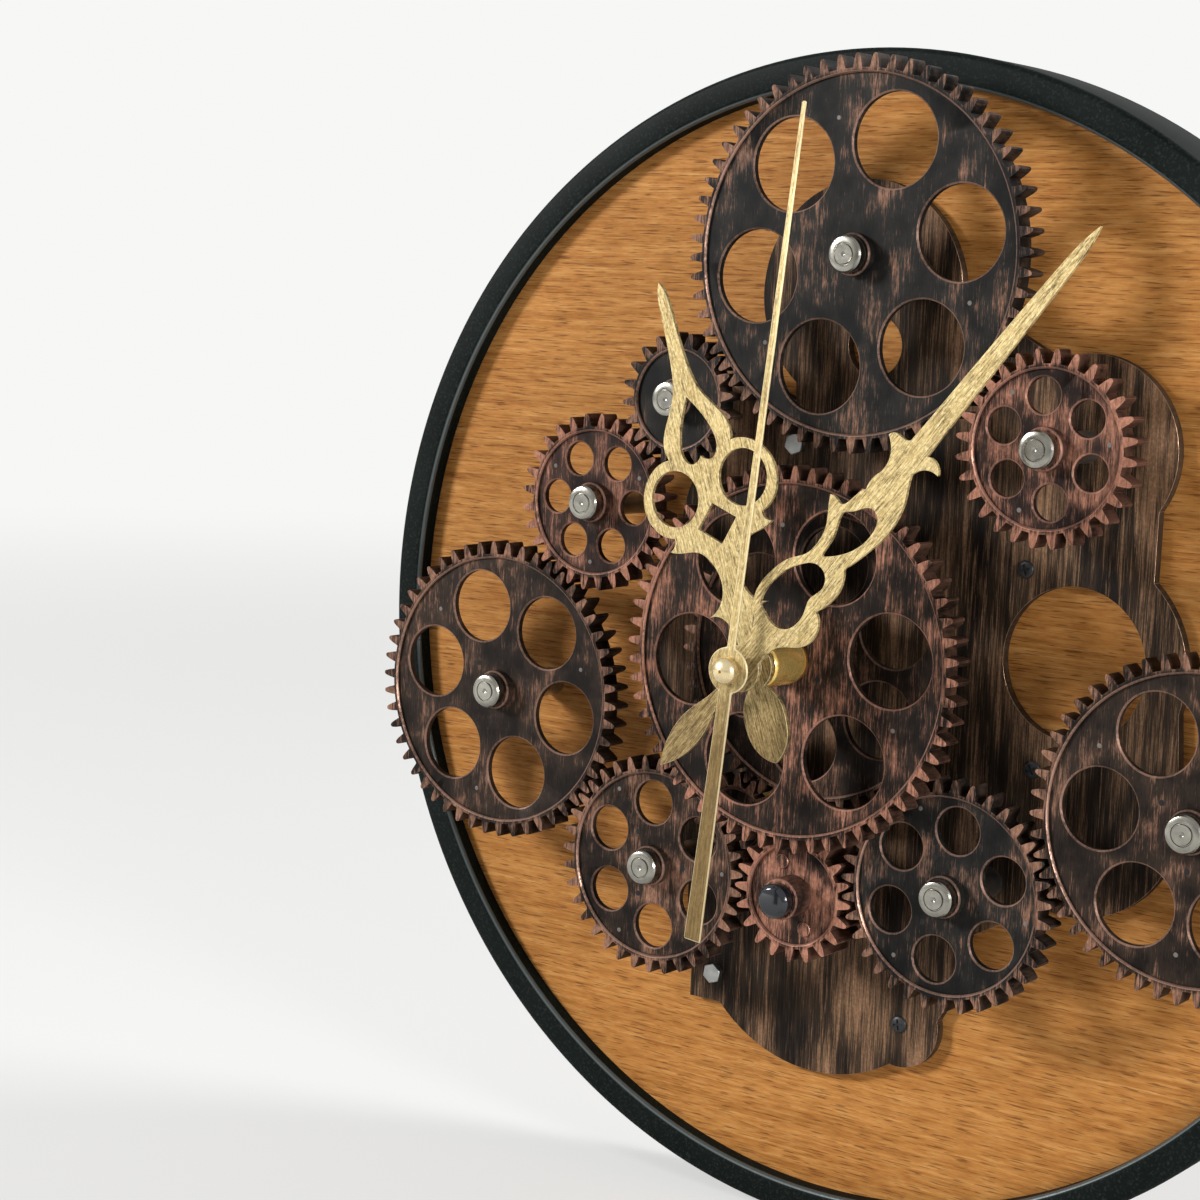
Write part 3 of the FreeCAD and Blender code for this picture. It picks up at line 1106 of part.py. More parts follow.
# Two wires from the battery box to the gearbox: straight runs joined by arcs
gearbox_turn = 45
near_share, exit_share, drop_share, sag_share = 1.8, 0.3, 0.75, 0.1
bend_share = 0.45
wire_end = on_arc(size["motor_r"], gearbox_turn, motor_spot)
wire_near = on_arc(size["motor_r"] * near_share, gearbox_turn, motor_spot)
wire_start = (box_spot[0] - size["box_wide"] * exit_share, box_spot[1] - size["box_high"] / 2)
wire_below = (wire_start[0], wire_start[1] - size["motor_r"] * drop_share)
wire_middle = ((wire_below[0] + wire_near[0]) / 2,
               (wire_below[1] + wire_near[1]) / 2 - size["motor_r"] * sag_share)
WIRE_ROUTE = [wire_start, wire_below, wire_middle, wire_near, wire_end]


def wire_path(spots, depth):
    """Edges along a route; each arc is as large as its two runs allow."""
    points = [Vector(spot[0], -depth, spot[1] - size["hang_height"]) for spot in spots]
    edges = []
    start = points[0]
    for before, corner, after in zip(points, points[1:], points[2:]):
        back, ahead = before - corner, after - corner
        shorter = min(back.Length, ahead.Length)
        back.normalize()
        ahead.normalize()
        turn = math.pi - back.getAngle(ahead)
        reach = bend_share * shorter
        radius = reach / math.tan(turn / 2)
        print(f"wire bend radius {radius:.1f} mm")
        middle = (back + ahead).normalize()
        first, last = corner + back * reach, corner + ahead * reach
        centre_gap = radius / math.cos(turn / 2)
        bulge = corner + middle * (centre_gap - radius)
        edges.append(Part.LineSegment(start, first).toShape())
        edges.append(Part.Arc(first, bulge, last).toShape())
        start = last
    edges.append(Part.LineSegment(start, points[-1]).toShape())
    return Part.Wire(edges)


def wire(label, depth):
    path = wire_path(WIRE_ROUTE, depth)
    first = path.Edges[0]
    along = first.tangentAt(first.FirstParameter)
    circle = Part.Circle(first.Vertexes[0].Point, along, size["wire_r"])
    solid = path.makePipeShell([Part.Wire(circle.toShape())], True, True)
    body = doc.addObject("Part::Feature", label)
    body.Shape = solid
    expected = math.pi * size["wire_r"] ** 2 * path.Length
    print(f"{label}: {path.Length:.1f} mm long, volume {solid.Volume / expected:.4f} of its section times length")
    return node(body, label)


wire("motor_wire_black", size["panel_back"] - size["wire_r"] * 1.5)
wire("motor_wire_red", size["panel_back"] - size["wire_r"] * 4)

# Check every object and write one file for each sub-part
doc.recompute()
faults = [thing.Name for thing in doc.Objects if {"Invalid", "Error"} & set(thing.State)]
for thing in nodes:
    if thing.Shape.isNull() or not thing.Shape.isValid() or not thing.Shape.Solids:
        faults.append(thing.Label)
labels = [thing.Label for thing in nodes]
if len(set(labels)) != len(labels):
    faults.append("two sub-parts share a name")
if faults:
    raise SystemExit(f"faults in: {faults}")

os.makedirs("parts", exist_ok=True)
for thing in nodes:
    thing.Shape.exportStep(f"parts/{thing.Label}.step")
    print(f"{thing.Label}: {len(thing.Shape.Solids)} solids, {thing.Shape.Volume:.0f} mm3")
print(len(nodes), "sub-parts")
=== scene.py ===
# %% [markdown]
# # A wall clock with a train of turning gears
# The clock is a flat round case on a wall: a black metal ring, an oak panel inside it, a cut
# metal plate on the panel, toothed wheels on turned pins, and gilt hands in front of it all.
# The exact solids come from the engineering model, which is loaded here as a fixed frame.
# This lesson dresses that frame: it rounds edges, adds small turned and drilled details,
# and gives each surface a finish made of nodes. Blender counts in metres, and MM turns the many
# millimetres below into them. The wall is the plane y = 0, z points up, and the clock faces
# the reader, who stands at negative y.

import json
import math

import bmesh
import bpy
from mathutils import Matrix, Vector

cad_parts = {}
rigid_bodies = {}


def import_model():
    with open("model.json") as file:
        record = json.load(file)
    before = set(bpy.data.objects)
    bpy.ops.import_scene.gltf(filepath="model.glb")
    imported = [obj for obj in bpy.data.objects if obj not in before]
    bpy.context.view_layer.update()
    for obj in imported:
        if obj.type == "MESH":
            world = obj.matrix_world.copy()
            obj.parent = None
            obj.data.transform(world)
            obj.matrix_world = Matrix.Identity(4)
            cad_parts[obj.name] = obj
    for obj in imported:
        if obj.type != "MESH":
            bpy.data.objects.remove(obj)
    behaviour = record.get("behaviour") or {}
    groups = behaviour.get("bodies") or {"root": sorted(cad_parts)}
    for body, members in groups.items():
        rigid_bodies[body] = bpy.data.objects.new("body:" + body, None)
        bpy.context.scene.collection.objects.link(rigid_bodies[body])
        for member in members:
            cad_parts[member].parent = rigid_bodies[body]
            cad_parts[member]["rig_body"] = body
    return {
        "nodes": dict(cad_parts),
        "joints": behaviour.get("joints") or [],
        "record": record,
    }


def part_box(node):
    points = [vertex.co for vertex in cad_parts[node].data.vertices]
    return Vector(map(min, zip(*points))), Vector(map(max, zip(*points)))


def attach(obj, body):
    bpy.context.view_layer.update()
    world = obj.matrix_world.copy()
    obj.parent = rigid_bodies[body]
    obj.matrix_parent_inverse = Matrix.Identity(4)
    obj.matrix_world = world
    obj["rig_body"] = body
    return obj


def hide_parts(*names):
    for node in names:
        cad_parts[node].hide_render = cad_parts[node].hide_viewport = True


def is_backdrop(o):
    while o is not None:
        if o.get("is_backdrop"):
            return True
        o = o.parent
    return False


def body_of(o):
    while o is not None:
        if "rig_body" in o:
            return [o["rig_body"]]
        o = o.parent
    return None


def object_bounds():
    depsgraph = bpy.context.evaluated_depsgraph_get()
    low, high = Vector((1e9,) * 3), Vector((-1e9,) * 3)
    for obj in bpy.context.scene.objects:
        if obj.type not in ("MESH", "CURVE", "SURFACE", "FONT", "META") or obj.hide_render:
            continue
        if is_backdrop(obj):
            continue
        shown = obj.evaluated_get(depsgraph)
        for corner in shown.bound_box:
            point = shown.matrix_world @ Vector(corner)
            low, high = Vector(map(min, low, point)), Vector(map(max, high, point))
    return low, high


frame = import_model()
frame_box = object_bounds()
MM = 0.001
slot_of = {part["node"]: part["material_slot"] for part in frame["record"]["subparts"]}
spot_of = {joint["child"]: Vector(joint["pos_m"]) for joint in frame["joints"] if joint["type"] == "hinge"}
scene = bpy.context.scene

# %% [markdown]
# ## Camera
# The eye stands to the right of the clock and a little above its middle, and it looks past the
# clock's left side, so part of the ring is cut off. A camera needs a place, a direction and an
# up direction. Three perpendicular vectors give all of it, which is surer than three angles.

# %% Camera
EYE = Vector((344.0, -597.0, -38.8)) * MM
LOOK = Vector((-0.5915, 0.7973, -0.1200)).normalized()
UP_HINT = Vector((-0.1031, 0.0728, 0.9920))
LENS = 76.5
SENSOR = 36.0
NEAREST = 0.01
to_right = LOOK.cross(UP_HINT).normalized()
to_top = to_right.cross(LOOK)
camera_data = bpy.data.cameras.new("camera")
camera_data.lens = LENS
camera_data.sensor_width = SENSOR
camera_data.clip_start = NEAREST
camera = bpy.data.objects.new("camera", camera_data)
scene.collection.objects.link(camera)
camera.matrix_world = Matrix.Translation(EYE) @ Matrix((to_right, to_top, -LOOK)).transposed().to_4x4()
scene.camera = camera
print("camera stands", round(EYE.length, 3), "m from the keyhole")

# %% [markdown]
# ## Light, floor and background
# The main lamp stands at the upper left, so each wheel throws a shadow to the right on the
# wood. It is under half a metre wide: a larger one would wash the shadows out, and a smaller
# one would make them hard. A weaker lamp on the right draws thin bright lines on pins, hole
# edges and the ring, and one behind catches the outside of the ring. The world is pale, and
# brighter for the eye and for reflections than as plain light, so the background is near
# white without bleaching the clock. Far off, the floor fades into it, and no horizon shows.

# %% Lamps
LAMPS = (
    # name, place, watts, side
    ("key", (-1.42, -1.38, 0.62), 45.0, 0.42),
    ("edge", (1.15, -0.50, 0.10), 9.0, 0.30),
    ("back", (0.85, 0.85, 0.95), 18.0, 0.7),
)
AIM = Vector((0.0, 0.0, -0.13))
for lamp_name, place, watts, side in LAMPS:
    lamp_data = bpy.data.lights.new(lamp_name, "AREA")
    lamp_data.energy = watts
    lamp_data.size = side
    lamp = bpy.data.objects.new(lamp_name, lamp_data)
    lamp.location = place
    lamp.rotation_mode = "QUATERNION"
    lamp.rotation_quaternion = (AIM - Vector(place)).to_track_quat("-Z", "Y")
    scene.collection.objects.link(lamp)
print("lamps:", len(LAMPS))

# %% World
WORLD_COLOUR = (0.93, 0.93, 0.92, 1.0)
WORLD_LIGHT = 0.17
MIRRORED_SHARE = 0.6


def fill(tree, socket, source):
    """Wires a source to a socket, or sets the socket to a plain value."""
    if isinstance(source, bpy.types.NodeSocket):
        tree.links.new(source, socket)
    else:
        socket.default_value = source


def add_node(tree, kind, inputs=(), **values):
    """Adds a node to any kind of tree; `inputs` gives (input, source or value) pairs."""
    made = tree.nodes.new(kind)
    for key, value in values.items():
        setattr(made, key, value)
    for key, source in inputs:
        fill(tree, made.inputs[key], source)
    return made


def calculated(tree, kind, first, second):
    """The result of a Math node."""
    return add_node(tree, "ShaderNodeMath", [(0, first), (1, second)], operation=kind).outputs[0]


scene.view_settings.view_transform = "Standard"
world = bpy.data.worlds.new("pale room")
scene.world = world
world.use_nodes = True
sky = world.node_tree
sky.nodes.clear()
path = add_node(sky, "ShaderNodeLightPath").outputs
mirrored = calculated(sky, "MULTIPLY", path["Is Glossy Ray"], MIRRORED_SHARE)
either = calculated(sky, "MAXIMUM", path["Is Camera Ray"], mirrored)
shown = calculated(sky, "MAXIMUM", either, path["Is Transmission Ray"])
dim = add_node(sky, "ShaderNodeBackground", [("Color", WORLD_COLOUR), ("Strength", WORLD_LIGHT)])
bright = add_node(sky, "ShaderNodeBackground", [("Color", WORLD_COLOUR), ("Strength", 1.0)])
both = add_node(sky, "ShaderNodeMixShader", [(0, shown), (1, dim.outputs[0]), (2, bright.outputs[0])])
add_node(sky, "ShaderNodeOutputWorld", [("Surface", both.outputs[0])])
print("world nodes:", len(sky.nodes))

# %% Floor
FLOOR_DROP = 0.0004
FLOOR_HALF = 12.0
floor_z = frame_box[0].z - FLOOR_DROP
corners = ((-1, -1), (1, -1), (1, 1), (-1, 1))
floor_mesh = bpy.data.meshes.new("floor")
floor_mesh.from_pydata([(x * FLOOR_HALF, y * FLOOR_HALF, floor_z) for x, y in corners], [], [(0, 1, 2, 3)])
floor = bpy.data.objects.new("floor", floor_mesh)
scene.collection.objects.link(floor)
floor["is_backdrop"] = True
print("floor at", round(floor_z, 4))

# %% [markdown]
# ## Helpers for finishes
# A finish is a small net of nodes. Nearly all of them here start from Object coordinates, so
# that the pattern sticks to the piece when it turns. The mapping node is used in its texture
# mode: its scale is then the real size of one grain of the pattern, in metres, and its
# rotation turns the grain, which makes long streaks from plain noise.

# %% Node helpers
# Noise seldom leaves this range, so colours are spread over it.
NOISE_LOW = 0.3
NOISE_HIGH = 0.7
# The wave texture draws about three lines in each unit of length.
LINES_PER_UNIT = 3
# The mix node has sockets for every kind of data. These are the ones for colours.
MIX_AMOUNT = 0
MIX_FIRST = 6
MIX_SECOND = 7
MIX_RESULT = 2


def grey(value):
    return (value, value, value)


def scaled(colour, times, more=0.0):
    """A colour made lighter or darker."""
    return tuple(part * times + more for part in colour)


class Finish:
    """One material and short ways to wire its nodes."""

    def __init__(self, name, rough=0.5, metallic=0.0, specular=0.5, coat=0.0):
        self.material = bpy.data.materials.new(name)
        self.material.use_nodes = True
        self.tree = self.material.node_tree
        self.shader = self.tree.nodes["Principled BSDF"]
        self.put("Roughness", rough)
        self.put("Metallic", metallic)
        self.put("Specular IOR Level", specular)
        self.put("Coat Weight", coat)

    def put(self, socket, source):
        """Sets one of the shader's sockets, or wires a source to it."""
        fill(self.tree, self.shader.inputs[socket], source)

    def node(self, kind, inputs=(), **values):
        return add_node(self.tree, "ShaderNode" + kind, inputs, **values)

    def calc(self, kind, first, second=0.0):
        return calculated(self.tree, kind, first, second)

    def times(self, first, second):
        return self.calc("MULTIPLY", first, second)

    def grain(self, size, turn=0.0, centre=(0.0, 0.0, 0.0)):
        """Object coordinates divided by the grain's size in mm, turned about y by `turn` degrees.
        The size is three numbers, or one for an even grain."""
        sides = (size, size, size) if isinstance(size, (int, float)) else size
        values = [("Vector", self.node("TexCoord").outputs["Object"]), ("Location", centre),
                  ("Rotation", (0.0, math.radians(turn), 0.0)), ("Scale", [side * MM for side in sides])]
        return self.node("Mapping", values, vector_type="TEXTURE").outputs["Vector"]

    def axis(self, vector, name):
        """One of a vector's three numbers."""
        return self.node("SeparateXYZ", [("Vector", vector)]).outputs[name]

    def noise(self, size, turn=0.0, detail=3.0, rough=0.55, warp=0.0):
        """Noise whose blotches have the grain's size."""
        values = [("Vector", self.grain(size, turn)), ("Scale", 1.0), ("Detail", detail),
                  ("Roughness", rough), ("Distortion", warp)]
        return self.node("TexNoise", values).outputs["Fac"]

    def rings(self, centre, size):
        """Fine turned lines round the y axis through `centre`, about `size` mm apart."""
        values = [("Vector", self.grain(size * LINES_PER_UNIT, 0.0, centre)), ("Scale", 1.0)]
        return self.node("TexWave", values, wave_type="RINGS", rings_direction="Y").outputs["Fac"]

    def steps(self, value, stops):
        """A colour ramp: `stops` is a list of (position, colour)."""
        made = self.node("ValToRGB", [("Fac", value)])
        elements = made.color_ramp.elements
        while len(elements) < len(stops):
            elements.new(0.5)
        for element, (position, colour) in zip(elements, stops):
            element.position = position
            element.color = (*colour, 1.0)
        return made.outputs["Color"]

    def tint(self, noise, low, high):
        """A colour that wanders between two as a noise does."""
        return self.steps(noise, [(NOISE_LOW, low), (NOISE_HIGH, high)])

    def mask(self, value, start, end, low=0.0, high=1.0):
        """Grey from `low` at `start` to `high` at `end`."""
        return self.steps(value, [(start, grey(low)), (end, grey(high))])

    def mix(self, amount, first, second):
        """A mixed colour; each of the two is a source or three numbers."""
        ends = [(*value, 1.0) if isinstance(value, tuple) else value for value in (first, second)]
        values = [(MIX_AMOUNT, amount), (MIX_FIRST, ends[0]), (MIX_SECOND, ends[1])]
        return self.node("Mix", values, data_type="RGBA").outputs[MIX_RESULT]

    def blend(self, *parts):
        """Adds up (source, share) pairs in their order."""
        shares = [self.times(source, share) for source, share in parts]
        total = shares[0]
        for share in shares[1:]:
            total = self.calc("ADD", total, share)
        return total

    def span(self, value, low, high, start=0.0, end=1.0):
        """Stretches a value from start..end to low..high, and holds it at these ends."""
        values = [("Value", value), ("From Min", start), ("From Max", end), ("To Min", low), ("To Max", high)]
        return self.node("MapRange", values).outputs["Result"]

    def ramp(self, value, start, end, top=1.0):
        """0 at `start`, `top` from `end` on."""
        return self.span(value, 0.0, top, start, end)

    def reach(self, middle):
        """Distance in mm from the y axis through `middle`, for what is round."""
        place = self.grain(1, 0.0, (middle.x, 0.0, middle.z))
        flat = self.node("VectorMath", [(0, place), (1, (1.0, 0.0, 1.0))], operation="MULTIPLY")
        return self.node("VectorMath", [(0, flat.outputs["Vector"])], operation="LENGTH").outputs["Value"]

    def depth(self):
        """Distance in mm in front of the wall."""
        return self.axis(self.grain(-1), "Y")

    def edge(self):
        """The number "edge" of a chamfer's faces, 0 on all others."""
        return self.node("Attribute", attribute_name="edge").outputs["Fac"]

    def bump(self, height, strength, depth):
        """Bump whose real depth is `depth` mm."""
        values = [("Height", height), ("Strength", strength), ("Distance", depth * MM)]
        self.put("Normal", self.node("Bump", values).outputs["Normal"])


# %% [markdown]
# ## Wood
# The panel is an oak-like veneer, oiled to a warm orange brown, with its grain lying across.
# Real veneer shows four things at once: broad soft bands, fine lines that follow the grain,
# flecks, and short dark pores. Each is one noise, stretched by a different amount along x, and a
# warp keeps the lines from being ruler straight. The pores also sink into the surface.

# %% Oak panel
PORE_SHARE = 0.65
PORE_BROWN = (0.085, 0.025, 0.006)
oak = Finish("oiled oak veneer", rough=0.5, specular=0.1)
broad = oak.noise((110, 30, 8), detail=4, warp=0.8)
lines = oak.noise((30, 8, 0.9), detail=5, rough=0.72, warp=0.6)
flecks = oak.noise((9, 4, 1.5), detail=4, rough=0.65)
pores = oak.noise((7.5, 2, 0.42), detail=2, rough=0.5)
band_shade = oak.steps(broad, [(0.32, (0.26, 0.098, 0.020)), (0.52, (0.40, 0.168, 0.042)),
                               (0.72, (0.50, 0.238, 0.070))])
line_shade = oak.steps(lines, [(0.36, (0.130, 0.040, 0.008)), (0.46, (0.35, 0.138, 0.028)),
                               (0.56, (0.47, 0.215, 0.056)), (0.68, (0.64, 0.345, 0.118))])
fleck_shade = oak.steps(flecks, [(0.38, (0.24, 0.084, 0.017)), (0.50, (0.44, 0.184, 0.042)),
                                 (0.62, (0.58, 0.305, 0.100))])
veneer = oak.mix(oak.span(broad, 0.35, 0.75), band_shade, line_shade)
veneer = oak.mix(oak.span(lines, 0.10, 0.50), veneer, fleck_shade)
pore_mask = oak.mask(pores, 0.35, 0.43, low=1.0, high=0.0)
oak.put("Base Color", oak.mix(oak.times(pore_mask, PORE_SHARE), veneer, PORE_BROWN))
oak.put("Roughness", oak.span(lines, 0.70, 0.50))
oak.bump(oak.calc("SUBTRACT", lines, pore_mask), 0.4, 0.12)
print("oak finish made")

# %% [markdown]
# ## Rubbed paint on the wheels and the plate
# The wheels and the plate are painted black. Then an almost dry brush with copper paint is
# drawn over them, so the copper stays on edges, on the teeth and in thin streaks on the flats.
# Each edge of these pieces is cut to a small chamfer further down, and those faces carry a
# number named "edge". The finish reads it and paints the chamfers a paler, more metallic copper:
# partly rubbed copper, partly a painted highlight. The side faces are found from their normal.

# %% Rubbed paint
COVER_START = 0.60
COVER_PER_AMOUNT = 0.2
COVER_RISE = 0.10
TOOTH_EXTRA = 0.075


def rubbed_paint(name, dark, middle, copper, amount, centre=None, band=0.0, streak=(0.30, 5, 4.5),
                 broad=(1.0, 6, 10), patch_size=(8, 8, 10)):
    """Black paint with copper dragged over it. More `amount` gives more copper on the flats, and
    past `band` mm from `centre`, on a wheel's rim and teeth, there is more again."""
    made = Finish(name, rough=0.5, specular=0.1)
    cloud = made.noise(patch_size)
    wide = made.noise(broad, rough=0.6)
    fine = made.noise(streak, detail=5, rough=0.75)
    specks = made.noise((0.7, 0.7, 1.0), rough=0.7)
    ground = made.blend((cloud, 0.6), (fine, 0.4))
    base = made.mix(made.mask(ground, 0.40, 0.60), dark, middle)
    drag = made.blend((fine, 0.42), (wide, 0.24), (cloud, 0.34))
    if centre is not None:
        drag = made.calc("ADD", drag, made.ramp(made.reach(centre), band - 1.0, band + 0.5, TOOTH_EXTRA))
    start = COVER_START - amount * COVER_PER_AMOUNT
    flat_cover = made.mask(drag, start, start + COVER_RISE, high=0.9)
    facing = made.calc("ABSOLUTE", made.axis(made.node("TexCoord").outputs["Normal"], "Y"))
    cover = made.times(flat_cover, made.mask(facing, 0.3, 0.7, low=0.16))
    patchy = made.blend((specks, 0.5), (cloud, 0.5))
    # Chamfers: partly rubbed copper, partly painted highlight, paler and more metallic than the flats.
    edge_wear_and_highlight = made.times(made.edge(), made.mask(patchy, 0.40, 0.56, low=0.3))
    pale = scaled(copper, 1.7, 0.03)
    bare_copper_and_highlight = scaled(copper, 1.6, 0.09)
    rubbed = made.mix(made.mask(specks, 0.40, 0.68, high=0.8), copper, pale)
    coloured = made.mix(cover, base, rubbed)
    made.put("Base Color", made.mix(edge_wear_and_highlight, coloured, bare_copper_and_highlight))
    made.put("Metallic", made.times(edge_wear_and_highlight, 0.9))
    smoother = made.times(edge_wear_and_highlight, 0.24)
    made.put("Roughness", made.calc("SUBTRACT", made.span(fine, 0.45, 0.68), smoother))
    made.bump(made.calc("ADD", fine, made.times(specks, 0.5)), 0.45, 0.07)
    return made


BLACK = ((0.004, 0.004, 0.004), (0.021, 0.019, 0.016))
BROWN = ((0.006, 0.004, 0.003), (0.036, 0.023, 0.016))
RUST = ((0.009, 0.005, 0.004), (0.066, 0.034, 0.024))
COPPER = (0.225, 0.112, 0.070)
RED_COPPER = (0.310, 0.135, 0.084)
WHEEL_FINISHES = {
    # wheel: body, ground colours, copper, amount of copper, teeth
    "top_wheel": ("top", BLACK, COPPER, 0.34, 60),
    "upper_right_wheel": ("upper_right", RUST, RED_COPPER, 0.56, 28),
    "right_wheel": ("right", BROWN, COPPER, 0.34, 50),
    "lower_right_wheel": ("lower_right", BLACK, COPPER, 0.36, 35),
    "lower_left_wheel": ("lower_left", BROWN, COPPER, 0.44, 35),
    "left_wheel": ("left", BROWN, COPPER, 0.34, 50),
    "upper_left_wheel": ("upper_left", RUST, RED_COPPER, 0.48, 28),
    "upper_left_pinion": ("upper_left_small", BLACK, COPPER, 0.28, 20),
    "centre_wheel": ("centre_wheels", BROWN, RED_COPPER, 0.44, 60),
    "centre_wheel_rear": ("centre_wheels", BROWN, COPPER, 0.36, 50),
    "drive_pinion": ("drive_shaft", RUST, RED_COPPER, 0.60, 20),
    "idler_pinion": ("idler", BROWN, COPPER, 0.38, 14),
}
TOOTH_MODULE = 1.6
TOOTH_DROP = 2.0
wheel_finish = {}
for wheel, (body, ground, copper, amount, teeth) in WHEEL_FINISHES.items():
    band = TOOTH_MODULE * teeth / 2 - TOOTH_DROP
    title = "rubbed " + wheel.replace("_", " ")
    wheel_finish[wheel] = rubbed_paint(title, *ground, copper, amount, spot_of[body], band)
plate_paint = rubbed_paint("streaked plate paint", (0.006, 0.004, 0.003), (0.062, 0.038, 0.022),
                           (0.215, 0.115, 0.060), 0.54, streak=(0.30, 5, 11), broad=(1.6, 6, 30),
                           patch_size=(9, 9, 42))
print("rubbed paints made")

# %% [markdown]
# ## Metals
# The ring is powder coated: a dark paint with a fine orange-peel bump. A lighter grey painted
# along the inner edge of its lip is a painted highlight. Pins are turned nickel, the sleeve is
# polished brass, and both show fine rings left by the lathe. The hands are gilt, with dark
# brushed streaks along their length, so each hand has its own turn of grain. Their chamfered
# edges are painted pale gold, which is a painted highlight.

# %% Ring coat
RIM_LIP_R = 147.6
BRIGHT_EDGE = 1.0


def middle_of(low, high):
    """The middle of a box, seen from the front."""
    return Vector(((low.x + high.x) / 2, 0.0, (low.z + high.z) / 2))


def sizes_of(low, high):
    """The back and the front of a round part, in mm before the wall, and its radius in mm."""
    return -high.y / MM, -low.y / MM, (high.x - low.x) / 2 / MM


rim_coat = Finish("powder coated black", rough=0.5, specular=0.05)
peel = rim_coat.noise(0.7)
patch = rim_coat.noise((22, 22, 30), detail=2)
rim_shade = rim_coat.tint(patch, (0.003, 0.005, 0.004), (0.006, 0.009, 0.008))
rim_shade = rim_coat.mix(rim_coat.mask(peel, 0.52, 0.72, high=0.7), rim_shade, (0.022, 0.028, 0.025))
rim_front = sizes_of(*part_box("rim_ring"))[1]
rim_reach = rim_coat.reach(middle_of(*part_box("rim_ring")))
# Painted highlight: the rounded inner edge of the lip is painted a lighter, smoother, more metallic grey, for
# the thin bright line it catches.
near_lip = rim_coat.ramp(rim_reach, RIM_LIP_R + BRIGHT_EDGE, RIM_LIP_R + BRIGHT_EDGE * 0.6)
near_front = rim_coat.ramp(rim_coat.depth(), rim_front - BRIGHT_EDGE * 1.4, rim_front - BRIGHT_EDGE)
lip_painted_highlight = rim_coat.times(near_lip, near_front)
rim_coat.put("Base Color", rim_coat.mix(lip_painted_highlight, rim_shade, (0.130, 0.150, 0.150)))
rim_coat.put("Metallic", rim_coat.times(lip_painted_highlight, 0.7))
smoother = rim_coat.times(lip_painted_highlight, 0.18)
rim_coat.put("Roughness", rim_coat.calc("SUBTRACT", rim_coat.span(peel, 0.40, 0.58), smoother))
rim_coat.bump(peel, 0.5, 0.05)
print("ring coat made, front at", round(rim_front, 2), "mm")

# %% Pins, brass and steel
LATHE_RELIEF = 0.02


def lathe_metal(name, low, high, rough_low, rough_high, centre=(0.0, 0.0, 0.0), line=0.35, metallic=1.0,
                relief=0.25):
    """Metal with fine rings round the y axis, and a little soft staining."""
    made = Finish(name, rough=rough_low, metallic=metallic)
    stain = made.noise(3)
    made.put("Base Color", made.tint(stain, low, high))
    made.put("Roughness", made.span(stain, rough_low, rough_high))
    made.bump(made.rings(centre, line), relief, LATHE_RELIEF)
    return made


AXIS = spot_of["centre_wheels"]
cap_gilt = lathe_metal("pale gilt cap", (0.72, 0.56, 0.30), (0.86, 0.72, 0.44), 0.22, 0.32,
                       AXIS, line=0.3, metallic=0.8, relief=0.08)
METALS = {
    # material slot: finish
    "pin_nickel": lathe_metal("turned nickel", (0.24, 0.23, 0.20), (0.37, 0.355, 0.31), 0.18, 0.30),
    "brass": lathe_metal("turned brass", (0.80, 0.52, 0.12), (0.94, 0.68, 0.24), 0.18, 0.25,
                         AXIS, line=0.5, metallic=0.75, relief=0.08),
    "steel": lathe_metal("zinc plated steel", (0.34, 0.34, 0.33), (0.50, 0.50, 0.48), 0.28, 0.44),
    "black_screw": lathe_metal("blackened steel", (0.020, 0.020, 0.022), (0.050, 0.048, 0.048),
                               0.35, 0.5, metallic=0.6),
    "contact_spring": lathe_metal("nickel plated spring", (0.55, 0.55, 0.54), (0.70, 0.70, 0.68),
                                  0.25, 0.4),
    "coil_copper": lathe_metal("enamelled coil wire", (0.30, 0.105, 0.035), (0.50, 0.200, 0.075),
                               0.25, 0.4, line=0.3),
}
print("turned metals:", len(METALS))

# %% Gilt hands
TAIL_START = 8.0
TAIL_FULL = -20.0
HANDS = {
    # hand: angle clockwise from upright in degrees, wear, wear of its tail
    "hour_hand": (340.4, 1.0, 0.65),
    "minute_hand": (39.4, 1.0, 0.65),
    "second_hand": (5.9, 0.8, 0.9),
}


def gilt(name, turn, wear, tail_wear):
    """Antique gold with dark streaks along the hand; `turn` is its angle, clockwise from upright.
    Its tail, past the axis, is the more worn."""
    made = Finish(name, rough=0.42, metallic=0.35, specular=0.3)
    streaks = made.noise((0.36, 3, 6.5), turn, detail=5, rough=0.75, warp=0.3)
    grit = made.noise((0.55, 1, 1.1), turn, detail=4, rough=0.75)
    cloud = made.noise((4, 4, 9), turn, detail=2)
    tail = made.ramp(made.axis(made.grain(1, turn, AXIS), "Z"), TAIL_START, TAIL_FULL, tail_wear)
    tone = made.tint(cloud, (0.54, 0.395, 0.155), (0.68, 0.525, 0.235))
    tone = made.mix(made.mask(grit, 0.50, 0.70, high=0.7), tone, (0.88, 0.735, 0.430))
    tone = made.mix(tail, tone, (0.215, 0.130, 0.042))
    brush = made.blend((streaks, 0.7), (grit, 0.3))
    brush = made.calc("SUBTRACT", brush, made.times(tail, 0.06))
    dark = made.steps(brush, [(0.39, grey(1.0)), (0.48, grey(0.40)), (0.56, grey(0.0))])
    brushed = made.mix(made.times(dark, wear), tone, (0.105, 0.066, 0.022))
    # Painted highlight: the chamfers round each hand are painted pale gold, for the bright lines its edges
    # catch.
    bright = made.times(made.edge(), 0.75)
    made.put("Base Color", made.mix(bright, brushed, (0.88, 0.735, 0.440)))
    made.put("Roughness", made.span(streaks, 0.55, 0.34))
    made.bump(streaks, 0.6, 0.08)
    return made


gilt_of = {hand: gilt("gilt " + hand.split("_")[0], *values) for hand, values in HANDS.items()}
print("gilt finishes:", len(gilt_of))

